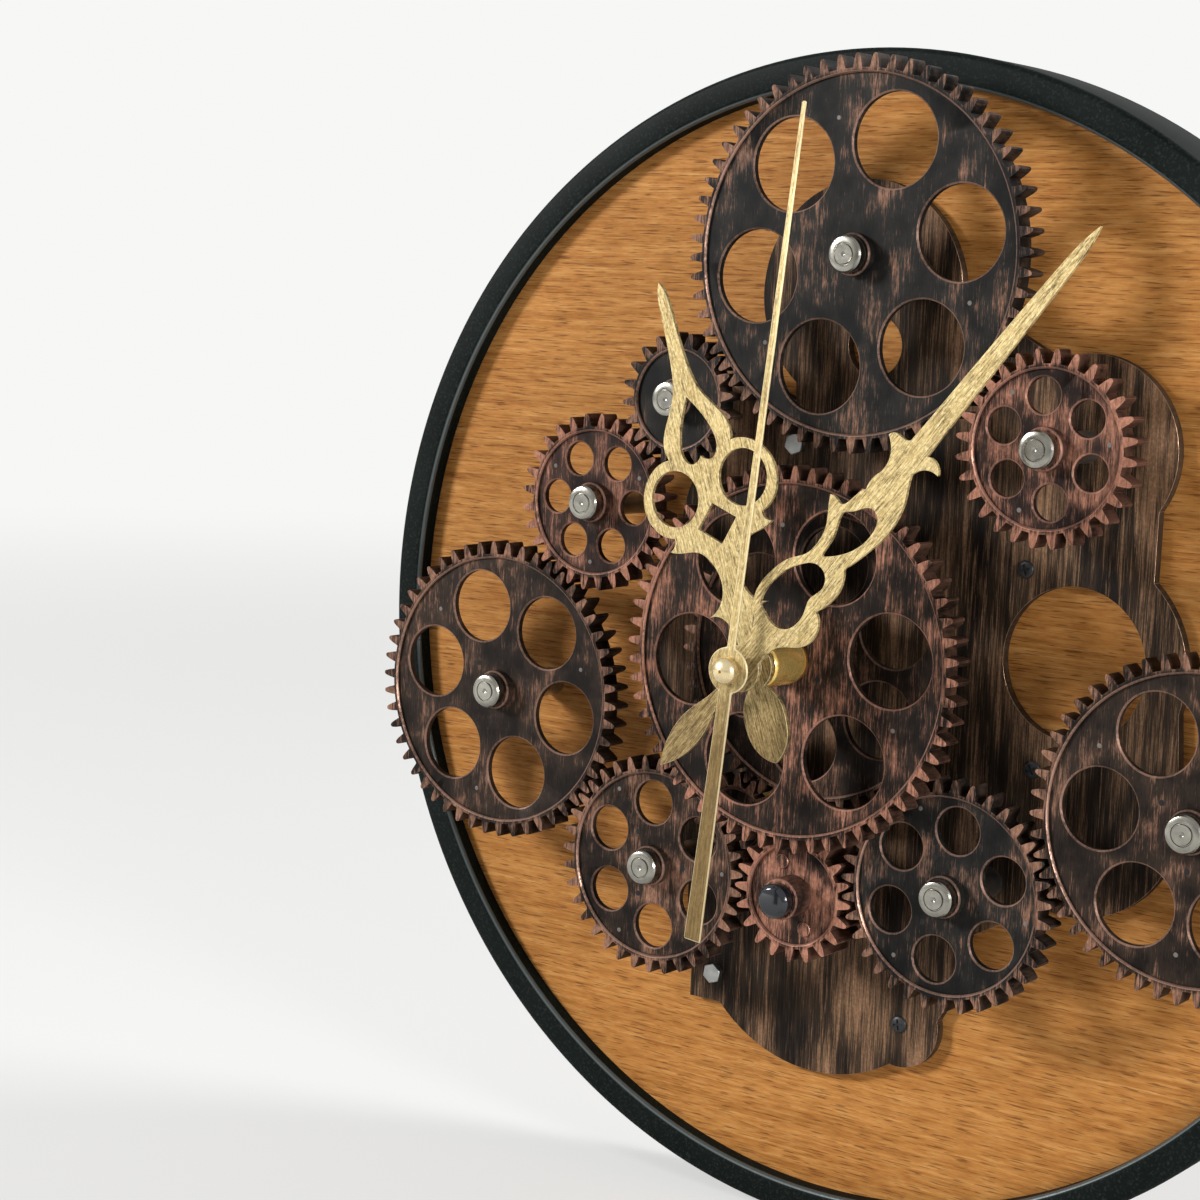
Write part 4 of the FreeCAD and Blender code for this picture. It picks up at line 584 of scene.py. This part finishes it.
# %% [markdown]
# ## Plastics, cells, board, wire and floor
# The parts behind the panel are ordinary: moulded cases, round cells, a small board. Moulded
# plastic has a fine spark-eroded grain, so one function makes it in each colour. It takes a
# coat for the glossy cap, and a coarser or a finer grain. The floor has a plain pale paint,
# which glows for the camera alone, more with distance, until it is as bright as the world.

# %% Plastics and small materials
def moulded(name, colour, rough=0.55, grain=0.45, coat=0.0, depth=0.03):
    """Moulded plastic: an even colour that varies a little, with a fine grain."""
    made = Finish(name, rough=rough, coat=coat)
    cloud = made.noise(9, detail=2)
    made.put("Base Color", made.tint(cloud, scaled(colour, 0.8), scaled(colour, 1.15)))
    made.put("Roughness", made.span(cloud, rough - 0.06, rough + 0.08))
    made.bump(made.noise(grain, detail=2), 0.4, depth)
    return made


PLASTICS = {
    # material slot: finish
    "cap_black": moulded("glossy black cap", (0.008, 0.010, 0.014), rough=0.14, coat=0.4, depth=0.005),
    "movement_black": moulded("black moulded case", (0.020, 0.020, 0.021)),
    "movement_grey": moulded("grey moulded plastic", (0.34, 0.34, 0.33)),
    "tube_plastic": moulded("natural plastic", (0.68, 0.66, 0.60), rough=0.4),
    "cell_sleeve": moulded("blue cell sleeve", (0.035, 0.120, 0.260), rough=0.28, depth=0.008),
    "board_green": moulded("lacquered board", (0.020, 0.130, 0.050), rough=0.3, grain=1.2, depth=0.02),
    "wire_red": moulded("red insulation", (0.420, 0.018, 0.012), rough=0.42, depth=0.01),
    "wire_black": moulded("black insulation", (0.015, 0.015, 0.016), rough=0.42, depth=0.01),
}
print("plastics:", len(PLASTICS))

# %% Floor paint
FADE_START = 0.45
FADE_END = 2.2
FADE_LEAST = 0.5
floor_paint = Finish("pale floor", rough=0.85, specular=0.1)
clouds = floor_paint.noise(900, detail=1)
floor_paint.put("Base Color", floor_paint.tint(clouds, (0.80, 0.80, 0.79), (0.84, 0.84, 0.83)))
place = floor_paint.node("TexCoord").outputs["Object"]
far = floor_paint.node("VectorMath", [(0, place)], operation="LENGTH")
values = [("Value", far.outputs["Value"]), ("From Min", FADE_START), ("From Max", FADE_END),
          ("To Min", FADE_LEAST)]
fade = floor_paint.node("MapRange", values, interpolation_type="SMOOTHSTEP").outputs["Result"]
seen = floor_paint.times(fade, floor_paint.node("LightPath").outputs["Is Camera Ray"])
glow = floor_paint.node("Emission", [("Color", WORLD_COLOUR)])
faded = floor_paint.node("MixShader", [(0, seen), (1, floor_paint.shader.outputs[0]), (2, glow.outputs[0])])
surface = floor_paint.tree.nodes["Material Output"].inputs["Surface"]
fill(floor_paint.tree, surface, faded.outputs[0])
floor_mesh.materials.append(floor_paint.material)
print("floor fades from", FADE_START, "to", FADE_END, "m")

# %% A finish for each node
FINISHES = {
    **METALS, **PLASTICS,
    "rim_black": rim_coat, "panel_oak": oak, "plate_dark": plate_paint,
    "wheel_dark": wheel_finish["top_wheel"], "wheel_brown": wheel_finish["left_wheel"],
    "wheel_copper": wheel_finish["drive_pinion"], "hand_gold": gilt_of["minute_hand"],
}


def material_for(node_name):
    """The material of a node of the frame: its own finish, or else that of its slot."""
    finish = gilt_of.get(node_name) or wheel_finish.get(node_name) or FINISHES[slot_of[node_name]]
    return finish.material


for node_name, node in frame["nodes"].items():
    for holder in node.material_slots:
        holder.material = material_for(node_name)
print("finishes:", len(bpy.data.materials), "slots:", len(FINISHES))

# %% [markdown]
# ## Edges that catch the light
# No real edge is perfectly sharp. A sharp one shows no highlight, which is the quickest way to
# tell a drawing from a thing. So most cut and moulded pieces are copied, their loose triangles
# are merged, flat areas are joined up again, and the edges get a small chamfer. The chamfers
# are marked with the number "edge", which the rubbed paint and the gilt read, to paint them
# paler: on the wheels part wear and part painted highlight, on the hands a painted highlight.

# %% Chamfered copies
SHARP = math.radians(28)
FLAT = math.radians(0.4)
LEVEL = 0.9999
MERGE = 1e-6


def welded_copy(node_name):
    """The node's mesh as one joined surface with its flat areas made whole."""
    work = bmesh.new()
    work.from_mesh(frame["nodes"][node_name].data)
    bmesh.ops.remove_doubles(work, verts=work.verts, dist=MERGE)
    bmesh.ops.dissolve_limit(work, angle_limit=FLAT, verts=work.verts, edges=work.edges)
    return work


def body_holding(node_name):
    return body_of(frame["nodes"][node_name])[0]


def finished(name, work, node_name, material=None, replace=True):
    """Turns a bmesh into a piece that rides with a node and, as a rule, stands for it."""
    mesh = bpy.data.meshes.new(name)
    work.to_mesh(mesh)
    work.free()
    mesh.materials.clear()
    mesh.materials.append(material or material_for(node_name))
    mesh.polygons.foreach_set("use_smooth", [abs(face.normal.y) < LEVEL for face in mesh.polygons])
    mesh.set_sharp_from_angle(angle=SHARP)
    piece = bpy.data.objects.new(name, mesh)
    scene.collection.objects.link(piece)
    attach(piece, body_holding(node_name))
    if replace:
        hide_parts(node_name)
    return piece


def sharp_edges(work):
    """Sharp edges, without those at the foot of a step."""
    found = []
    for edge in work.edges:
        if edge.is_manifold and edge.calc_face_angle(0) > SHARP:
            level = abs(edge.verts[0].co.y - edge.verts[1].co.y) < MERGE
            if edge.is_convex or not level:
                found.append(edge)
    return found


def cut_edges(work, edges, width, mark, number):
    """Cuts a chamfer `width` mm wide along the edges and marks its faces with a number."""
    cut = bmesh.ops.bevel(work, geom=edges, offset=width * MM, segments=1, affect="EDGES",
                          offset_type="OFFSET", clamp_overlap=True)
    for face in cut["faces"]:
        face[mark] = number


def in_zone(edge, middle, inside, outside):
    """Whether an edge lies between two radii, in mm, round the y axis through `middle`."""
    flat = Vector((1.0, 0.0, 1.0))
    return all(inside * MM <= ((vert.co - middle) * flat).length < outside * MM for vert in edge.verts)


def chamfered(node_name, width=0.0, zones=()):
    """Puts a copy with chamfers `width` mm wide in a node's place. A wheel gives zones instead,
    each with its middle, two radii, its own width and its mark."""
    work = welded_copy(node_name)
    mark = work.faces.layers.float.new("edge")
    if not zones:
        cut_edges(work, sharp_edges(work), width, mark, 1.0)
    for middle, inside, outside, zone_width, number in zones:
        found = [edge for edge in sharp_edges(work) if in_zone(edge, middle, inside, outside)]
        cut_edges(work, found, zone_width, mark, number)
    open_edges = sum(1 for edge in work.edges if not edge.is_manifold)
    piece = finished(node_name + "_finished", work, node_name)
    print(piece.name, "faces:", len(piece.data.polygons), "open edges:", open_edges)


# %% Wheels
HOLE_CHAMFER = 0.42
STEP_CHAMFER = 0.5
TOOTH_CHAMFER = 0.22
# How strongly each zone's chamfers take the paler copper: part wear, part painted highlight. The step gets
# the most, for its bright line.
HOLE_WEAR_AND_HIGHLIGHT = 0.5
STEP_WEAR_AND_HIGHLIGHT = 1.0
TOOTH_WEAR_AND_HIGHLIGHT = 0.6
STEP_DROP = 3.2
STEP_ROOM = 0.4
FAR = 100.0
for wheel, (body, *_, teeth) in WHEEL_FINISHES.items():
    middle = spot_of[body]
    step_r = TOOTH_MODULE * teeth / 2 - STEP_DROP
    inside = step_r - STEP_ROOM
    outside = step_r + STEP_ROOM
    chamfered(wheel, zones=((middle, 0.0, inside, HOLE_CHAMFER, HOLE_WEAR_AND_HIGHLIGHT),
                            (middle, inside, outside, STEP_CHAMFER, STEP_WEAR_AND_HIGHLIGHT),
                            (middle, outside, FAR, TOOTH_CHAMFER, TOOTH_WEAR_AND_HIGHLIGHT)))

# %% Plate, hands, small parts and cases
MAIN_CHAMFER = 0.3
SMALL_CHAMFER = 0.15
SMALL_PARTS = ("plate_bolts", "pivot_nuts", "drive_rivets", "shaft_cap", "hanger_bracket", "panel_clips",
               "clip_screws", "hanger_screws", "motor_screws", "clock_battery", "motor_can")
CASES = ("movement_case", "movement_cover", "setting_knob", "motor_battery_box", "motor_battery_lid",
         "motor_gearbox", "switch_case", "switch_slider")
for node_name in ("gear_plate", *HANDS, *SMALL_PARTS, *CASES):
    chamfered(node_name, SMALL_CHAMFER if node_name in SMALL_PARTS else MAIN_CHAMFER)

# %% [markdown]
# ## The ring
# The ring is a folded band: a side wall that stands on the wall, and a narrow lip in front of
# the panel. Its section is drawn once, as a closed line, and swept round a circle by Geometry
# Nodes. Lips and walls that follow a path are what a curve sweep is for, and it gives
# an even, closed net with many more steps than the engineering model needs.

# %% Ring by a swept section
RIM_OUTER = 156.0
RIM_DEPTH = 25.0
RIM_WALL = 4.7
RIM_ROUND = 1.6
PANEL_FRONT = 20.0
ARC_STEPS = 5
RIM_STEPS = 256
QUARTER_TURN = math.pi / 2


def rounded(x, y, turn_from, radius):
    """Points of a quarter round at the corner x, y; `turn_from` is the arc's first direction in degrees."""
    first = math.radians(turn_from)
    middle_x = x - radius * (math.cos(first) + math.cos(first + QUARTER_TURN))
    middle_y = y - radius * (math.sin(first) + math.sin(first + QUARTER_TURN))
    turns = [first + QUARTER_TURN * step / ARC_STEPS for step in range(ARC_STEPS + 1)]
    return [(middle_x + radius * math.cos(turn), middle_y + radius * math.sin(turn)) for turn in turns]


inner_wall = RIM_OUTER - RIM_WALL
section = rounded(RIM_OUTER, RIM_DEPTH, 0, RIM_ROUND) + rounded(RIM_LIP_R, RIM_DEPTH, 90, RIM_ROUND)
section += [(RIM_LIP_R, PANEL_FRONT), (inner_wall, PANEL_FRONT), (inner_wall, 0.0)]
section += rounded(RIM_OUTER, 0.0, 270, RIM_ROUND / 2)
section_curve = bpy.data.curves.new("ring section", "CURVE")
section_curve.dimensions = "2D"
outline = section_curve.splines.new("POLY")
outline.points.add(len(section) - 1)
for point, (radius, depth) in zip(outline.points, section):
    point.co = ((radius - RIM_OUTER) * MM, depth * MM, 0.0, 1.0)
outline.use_cyclic_u = True
section_holder = bpy.data.objects.new("ring section", section_curve)
print("ring section points:", len(section))

# %% [markdown]
# ## Geometry Nodes in a script
# A node tree is a recipe with named inputs. One short helper makes a tree, and another gives
# it to a mesh of bare points, sets the inputs, and keeps the result as a mesh. An input of the
# modifier is set by its identifier, not by its name, before the mesh is worked out. Each
# tree ends in Realize Instances and Set Material, so that the result stands by itself.

# %% Tree helpers
class Recipe:
    """A Geometry Nodes tree. `inputs` gives (name, kind) pairs, and a material comes after them."""

    def __init__(self, name, inputs):
        self.tree = bpy.data.node_groups.new(name, "GeometryNodeTree")
        self.identifier = {}
        for label, kind in (*inputs, ("Material", "Material")):
            socket = self.tree.interface.new_socket(label, in_out="INPUT", socket_type="NodeSocket" + kind)
            self.identifier[label] = socket.identifier
        self.tree.interface.new_socket("Result", in_out="OUTPUT", socket_type="NodeSocketGeometry")
        self.inputs = self.node("NodeGroupInput").outputs
        self.output = self.node("NodeGroupOutput")

    def node(self, kind, inputs=(), **values):
        return add_node(self.tree, kind, inputs, **values)

    def finish(self, geometry):
        real = self.node("GeometryNodeRealizeInstances", [("Geometry", geometry)])
        painted = self.node("GeometryNodeSetMaterial", [("Geometry", real.outputs[0]),
                                                        ("Material", self.inputs["Material"])])
        fill(self.tree, self.output.inputs[0], painted.outputs[0])


def worked_out(holder):
    """An object's mesh with its modifiers applied, which are then taken off."""
    evaluated = holder.evaluated_get(bpy.context.evaluated_depsgraph_get())
    result = bpy.data.meshes.new_from_object(evaluated)
    holder.modifiers.clear()
    return result


def grown(recipe, name, values, points=()):
    """Runs a recipe on a mesh of `points` and returns the result as a bmesh."""
    seed = bpy.data.meshes.new(name)
    seed.from_pydata([tuple(point) for point in points], [], [])
    holder = bpy.data.objects.new(name, seed)
    scene.collection.objects.link(holder)
    modifier = holder.modifiers.new("recipe", "NODES")
    modifier.node_group = recipe.tree
    for label, value in values.items():
        modifier[recipe.identifier[label]] = value
    result = worked_out(holder)
    bpy.data.objects.remove(holder)
    work = bmesh.new()
    work.from_mesh(result)
    bpy.data.meshes.remove(result)
    return work


# %% Sweep the ring
sweep = Recipe("swept ring", [("Radius", "Float"), ("Steps", "Int"), ("Section", "Object")])
circle = sweep.node("GeometryNodeCurvePrimitiveCircle", [("Resolution", sweep.inputs["Steps"]),
                                                         ("Radius", sweep.inputs["Radius"])])
shape = sweep.node("GeometryNodeObjectInfo", [("Object", sweep.inputs["Section"])])
swept = sweep.node("GeometryNodeCurveToMesh", [("Curve", circle.outputs["Curve"]),
                                               ("Profile Curve", shape.outputs["Geometry"])])
stood = sweep.node("GeometryNodeTransform", [("Geometry", swept.outputs[0]),
                                             ("Rotation", (QUARTER_TURN, 0.0, 0.0))])
sweep.finish(stood.outputs[0])
ring = grown(sweep, "rim_ring_swept", {"Radius": RIM_OUTER * MM, "Steps": RIM_STEPS,
                                       "Section": section_holder, "Material": rim_coat.material})
reaches = [math.hypot(vert.co.x, vert.co.z) for vert in ring.verts]
# The sweep grows away from the reader, so it is mirrored, and its normals are made anew.
bmesh.ops.scale(ring, vec=(1.0, -1.0, 1.0), verts=ring.verts)
bmesh.ops.translate(ring, vec=AXIS, verts=ring.verts)
bmesh.ops.recalc_face_normals(ring, faces=ring.faces)
front = min(vert.co.y for vert in ring.verts)
print("ring outer", round(max(reaches), 4), "inner", round(min(reaches), 4), "front", round(front, 4))
finished("rim_ring_swept", ring, "rim_ring")

# %% [markdown]
# ## Turned pins, sleeve and cap
# Anything that comes off a lathe is a line turned round an axis. The line is written as pairs
# of depth and radius, from the back to the front. Pins show a narrow groove and a small
# drill mark in the middle of the head, and the brass sleeve has a rounded end.

# %% Turned shapes
TURN_STEPS = 48


def turned(profile, steps=TURN_STEPS):
    """A solid of revolution round the y axis; `profile` is (depth, radius) pairs in mm, back to front."""
    turns = [math.tau * step / steps for step in range(steps)]
    work = bmesh.new()
    rows = []
    for depth, radius in profile:
        if radius == 0:
            rows.append([work.verts.new((0.0, -depth * MM, 0.0))])
            continue
        rows.append([work.verts.new((radius * MM * math.cos(turn), -depth * MM, radius * MM * math.sin(turn)))
                     for turn in turns])
    for first, second in zip(rows, rows[1:]):
        for step in range(steps):
            face = [first[step % len(first)], first[(step + 1) % len(first)],
                    second[(step + 1) % len(second)], second[step % len(second)]]
            work.faces.new(dict.fromkeys(face))
    bmesh.ops.recalc_face_normals(work, faces=work.faces)
    return work


def holder_of(work, name):
    """An object that is only copied by a recipe and never shown."""
    mesh = bpy.data.meshes.new(name)
    work.to_mesh(mesh)
    work.free()
    mesh.polygons.foreach_set("use_smooth", [True] * len(mesh.polygons))
    return bpy.data.objects.new(name, mesh)


def loose_parts(node_name):
    """The lowest and highest corner of each separate solid in a node."""
    work = welded_copy(node_name)
    left = set(work.verts)
    parts = []
    while left:
        front_line = [left.pop()]
        island = []
        while front_line:
            vert = front_line.pop()
            island.append(vert.co.copy())
            for edge in vert.link_edges:
                other = edge.other_vert(vert)
                if other in left:
                    left.remove(other)
                    front_line.append(other)
        low = Vector([min(spot[axis] for spot in island) for axis in range(3)])
        high = Vector([max(spot[axis] for spot in island) for axis in range(3)])
        parts.append((low, high))
    work.free()
    return sorted(parts, key=lambda part: (round(part[0].z, 4), round(part[0].x, 4)))


pin_parts = loose_parts("pivot_pins")
PIN_BACK, PIN_FRONT, _ = sizes_of(*pin_parts[0])
print("pins:", len(pin_parts), "from", round(PIN_BACK, 2), "to", round(PIN_FRONT, 2), "mm")

# %% [markdown]
# ## Repeats on given spots
# One recipe copies a shape to each point of a mesh, with a turn that may differ from point to
# point. The screws, the pins and the small marks in the wheels all come from it. The turn is
# random but seeded, as screws end up at any angle when they are driven home.

# %% Copies recipe
RANDOM_MOST = 3
RANDOM_RESULT = 1
copies = Recipe("copies on spots", [("Geometry", "Geometry"), ("Shape", "Object"), ("Turn", "Float"),
                                    ("Seed", "Int")])
source = copies.node("GeometryNodeObjectInfo", [("Object", copies.inputs["Shape"]), ("As Instance", True)])
chance = copies.node("FunctionNodeRandomValue", [(RANDOM_MOST, copies.inputs["Turn"]),
                                                 ("Seed", copies.inputs["Seed"])], data_type="FLOAT")
about_y = copies.node("ShaderNodeCombineXYZ", [("Y", chance.outputs[RANDOM_RESULT])])
as_points = copies.node("GeometryNodeMeshToPoints", [("Mesh", copies.inputs["Geometry"])])
placed = copies.node("GeometryNodeInstanceOnPoints", [("Points", as_points.outputs[0]),
                                                      ("Instance", source.outputs["Geometry"]),
                                                      ("Rotation", about_y.outputs[0])])
copies.finish(placed.outputs[0])


def copied(name, shape, spots, node_name, material=None, replace=True, turn=0.0, seed=7):
    """One piece made of copies of `shape` on the spots; `turn` is the largest random turn in radians."""
    values = {"Shape": shape, "Turn": turn, "Seed": seed, "Material": material or material_for(node_name)}
    piece = finished(name, grown(copies, name, values, spots), node_name, material, replace)
    print(name, "copies:", len(spots), "faces:", len(piece.data.polygons))


# %% Pins
PIN_R = 2.5
PIN_CUT = 0.4
HEAD_R = 4.65
HEAD_BACK = 47.8
HEAD_CUT = 0.25
PIN_LINE = [
    # the shank, with a small cut at its end
    (PIN_BACK, 0), (PIN_BACK, PIN_R - PIN_CUT), (PIN_BACK + PIN_CUT, PIN_R), (HEAD_BACK, PIN_R),
    # the head's side and its rounded front edge
    (HEAD_BACK, HEAD_R - HEAD_CUT), (HEAD_BACK + HEAD_CUT, HEAD_R), (PIN_FRONT - 0.85, HEAD_R),
    (PIN_FRONT - 0.35, HEAD_R - 0.35), (PIN_FRONT - 0.12, HEAD_R - 1.0),
    # the groove, and the drill mark in the middle
    (PIN_FRONT - 0.12, 2.9), (PIN_FRONT - 0.4, 2.75), (PIN_FRONT - 0.4, 2.55), (PIN_FRONT, 2.4),
    (PIN_FRONT, 0.7), (PIN_FRONT - 0.55, 0),
]
pin_spots = [middle_of(*part) for part in pin_parts]
pin_shape = holder_of(turned(PIN_LINE), "pin shape")
copied("pivot_pins_turned", pin_shape, pin_spots, "pivot_pins")

# %% [markdown]
# ## Marks in the wheels
# The wheels are moulded with three small pilot holes round the hub and a few round dots where
# they were pushed out of the mould. Neither is cut: each pilot hole is a flat disc painted near
# black, a painted shade for the inside of a hole, and each dot is a flat disc painted paler than
# the wheel, a painted glint of its small pit. A ring of spots is worked out for each wheel from
# its axis, and each wheel gets a piece of its own, because every wheel turns by itself.

# %% Pilot holes and mould dots
WEB_DEPTH = {"centre_wheel": 52.0}
MAIN_WEB = 45.0
PROUD = 0.05
MARK_COUNT = 3
MARK_SHIFT = 30
MARK_STEPS = 16
DOT_R = 0.6
PILOT_R = 0.75
PILOT_REACH = 9.8
PILOT_LEAST = 20
MARKS = (
    # wheel, turn of its holes in degrees, reach of the dots in mm
    ("top_wheel", 11.6, 34.5), ("centre_wheel", 6.0, 34.5),
    ("left_wheel", 47.2, 30.0), ("right_wheel", 56.0, 30.0),
    ("lower_left_wheel", 32.6, 22.5), ("lower_right_wheel", 22.0, 22.5),
    ("upper_left_wheel", 57.2, 16.4), ("upper_right_wheel", 37.3, 16.4),
)


def mark_shape(name, radius, proud, bevel):
    """A flat round mark that stands a little proud of the wheel."""
    return holder_of(turned([(0, 0), (0, radius), (proud, radius - bevel), (proud, 0)], MARK_STEPS), name)


def ring_spots(centre, depth, reach, first):
    """Spots on a circle round a wheel's axis, `depth` mm in front of the wall."""
    spots = []
    for step in range(MARK_COUNT):
        turn = math.radians(first + 360 / MARK_COUNT * step)
        across = reach * MM * math.cos(turn)
        up = reach * MM * math.sin(turn)
        spots.append(Vector((centre.x + across, -depth * MM, centre.z + up)))
    return spots


# Painted shade: a pilot hole is drawn as a near black disc, for the shade inside a hole.
pilot_hole_painted_shade = moulded("painted shade of a pilot hole", (0.004, 0.004, 0.004), rough=0.9)
# Painted glint: a mould dot is a disc painted paler than the wheel, for the light its small pit catches.
mould_dot_painted_glint = moulded("mould dot", (0.130, 0.115, 0.105), rough=0.3)
pilot_shape = mark_shape("pilot shape", PILOT_R, PROUD, 0.05)
dot_shape = mark_shape("dot shape", DOT_R, PROUD * 2, 0.15)
for wheel, phase, dot_reach in MARKS:
    axis = spot_of[WHEEL_FINISHES[wheel][0]]
    depth = WEB_DEPTH.get(wheel, MAIN_WEB)
    spots = ring_spots(axis, depth, dot_reach, phase - MARK_SHIFT)
    copied(wheel + "_dots", dot_shape, spots, wheel, mould_dot_painted_glint.material, replace=False)
    if dot_reach > PILOT_LEAST:
        spots = ring_spots(axis, depth, PILOT_REACH, phase - MARK_SHIFT)
        copied(wheel + "_pilots", pilot_shape, spots, wheel, pilot_hole_painted_shade.material, replace=False)

# %% [markdown]
# ## Cross-head screws
# Three blackened screws hold the plate. Each has a low domed head and a cross. The head is
# turned, and the cross is cut out with a Boolean modifier by two crossed bars, which is how
# a punch would press it. Only one screw is made, and the recipe copies it to its three places.

# %% Turned screw
SHANK_SHARE = 0.5
HEAD_BASE = 23.0
DOME_TURNS = (15, 30, 45, 60, 75)
DOME_RISE = 0.8
DOME_CLOSE = 0.6
SCREW_STEPS = 24
screw_parts = loose_parts("plate_screws")
screw_back, screw_front, SCREW_R = sizes_of(*screw_parts[0])
shank_r = SCREW_R * SHANK_SHARE
rise = screw_front - HEAD_BASE
dome = [(screw_back, 0), (screw_back, shank_r), (HEAD_BASE, shank_r), (HEAD_BASE, SCREW_R)]
for turn in DOME_TURNS:
    angle = math.radians(turn)
    dome.append((HEAD_BASE + rise * math.sin(angle) ** DOME_RISE, SCREW_R * math.cos(angle) ** DOME_CLOSE))
dome.append((screw_front, 0))
screw_shape = holder_of(turned(dome, SCREW_STEPS), "screw shape")
print("screw radius", round(SCREW_R, 2), "mm, head", round(rise, 2), "mm high")

# %% Punched cross
CROSS_HALF = 0.28
CROSS_REACH = 0.62
SCREW_SEED = 3
cross = bmesh.new()
for across, up in ((CROSS_REACH * SCREW_R, CROSS_HALF), (CROSS_HALF, CROSS_REACH * SCREW_R)):
    bar = bmesh.ops.create_cube(cross, size=2.0)["verts"]
    bmesh.ops.scale(cross, vec=(across * MM, rise / 2 * MM, up * MM), verts=bar)
    bmesh.ops.translate(cross, vec=(0.0, -screw_front * MM, 0.0), verts=bar)
scene.collection.objects.link(screw_shape)
punch = screw_shape.modifiers.new("punch", "BOOLEAN")
punch.operation = "DIFFERENCE"
punch.object = holder_of(cross, "cross shape")
punch.use_self = True
screw_shape.data = worked_out(screw_shape)
scene.collection.objects.unlink(screw_shape)
screw_spots = [middle_of(*part) for part in screw_parts]
copied("plate_screws_crossed", screw_shape, screw_spots, "plate_screws", turn=QUARTER_TURN, seed=SCREW_SEED)

# %% [markdown]
# ## The sleeve and the cap at the middle
# The tall brass sleeve nut clamps the movement and stands far out of the centre wheel, so the
# camera sees it from its side. It is a plain polished drum with a rounded end and the finest
# of turned lines. The small domed cap presses the second hand on its shaft, and has a tiny
# hole in its middle.

# %% Sleeve nut and cap
SLEEVE_BORE = 3.1
SLEEVE_STEPS = 64
CAP_STEPS = 40
CAP_SIDE = 0.35
CAP_TURNS = (12, 24, 36, 48, 60, 70, 79)
CAP_HOLE_R = 0.42
CAP_HOLE_DEPTH = 0.9


def turned_on_axis(profile, steps):
    """A turned piece on the dial's axis. Where its line ends as it began, the ends are joined."""
    work = turned(profile, steps)
    bmesh.ops.remove_doubles(work, verts=work.verts, dist=MERGE)
    bmesh.ops.translate(work, vec=(AXIS.x, 0.0, AXIS.z), verts=work.verts)
    bmesh.ops.recalc_face_normals(work, faces=work.faces)
    return work


back, front, radius = sizes_of(*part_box("sleeve_nut"))
sleeve_line = [(back, SLEEVE_BORE), (back, radius - 0.4), (back + 0.4, radius), (front - 1.2, radius),
               (front - 0.5, radius - 0.2), (front, radius - 0.6), (front, SLEEVE_BORE), (back, SLEEVE_BORE)]
sleeve = turned_on_axis(sleeve_line, SLEEVE_STEPS)
finished("sleeve_nut_turned", sleeve, "sleeve_nut")
print("sleeve", round(back, 2), "to", round(front, 2), "mm, radius", round(radius, 2))
back, front, radius = sizes_of(*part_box("second_cap"))
high = front - back
cap_line = [(back, 0), (back, radius - 0.15), (back + 0.15, radius), (back + high * CAP_SIDE, radius)]
for turn in CAP_TURNS:
    angle = math.radians(turn)
    share = CAP_SIDE + (1 - CAP_SIDE) * math.sin(angle)
    cap_line.append((back + high * share, radius * math.cos(angle)))
cap_line += [(front, CAP_HOLE_R + 0.05), (front - 0.08, CAP_HOLE_R),
             (front - CAP_HOLE_DEPTH, CAP_HOLE_R - 0.1), (front - CAP_HOLE_DEPTH, 0)]
finished("second_cap_domed", turned_on_axis(cap_line, CAP_STEPS), "second_cap", cap_gilt.material)

# %% [markdown]
# ## The motor's two wires
# Two thin insulated wires run from the battery box to the gearbox behind the panel. They are
# free between their ends, so each is a smooth curve with a round section. The spots are those
# of the engineering model, and the spline passes near them, as a soft wire would.

# %% Wires
WIRE_R = 0.8
WIRE_SPOTS = ((49.60, -12.48), (49.60, -25.23), (35.97, -34.58), (22.34, -40.53), (12.72, -50.15))
WIRE_DEPTHS = {"motor_wire_black": 14.8, "motor_wire_red": 12.8}
for wire_name, depth in WIRE_DEPTHS.items():
    spots = [(x * MM, -depth * MM, z * MM + AXIS.z) for x, z in WIRE_SPOTS]
    line = bpy.data.curves.new(wire_name + "_insulated", "CURVE")
    line.dimensions = "3D"
    line.bevel_depth = WIRE_R * MM
    line.bevel_resolution = 3
    line.resolution_u = 12
    line.use_fill_caps = True
    spline = line.splines.new("NURBS")
    spline.points.add(len(spots) - 1)
    for point, spot in zip(spline.points, spots):
        point.co = (*spot, 1.0)
    spline.order_u = 3
    spline.use_endpoint_u = True
    line.materials.append(material_for(wire_name))
    piece = bpy.data.objects.new(wire_name + "_insulated", line)
    scene.collection.objects.link(piece)
    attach(piece, body_holding(wire_name))
    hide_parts(wire_name)

# %% [markdown]
# The boxes of the engineering model and of the dressed clock are printed as plain numbers,
# first the frame's and then the finished clock's. The dressed clock must not be larger than
# the engineering model.

# %% Sizes and end
finished_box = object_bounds()
boxes = {"frame": [list(corner) for corner in frame_box],
         "finished": [list(corner) for corner in finished_box]}
for title, box in boxes.items():
    print(title, "box", [[round(value, 4) for value in corner] for corner in box])
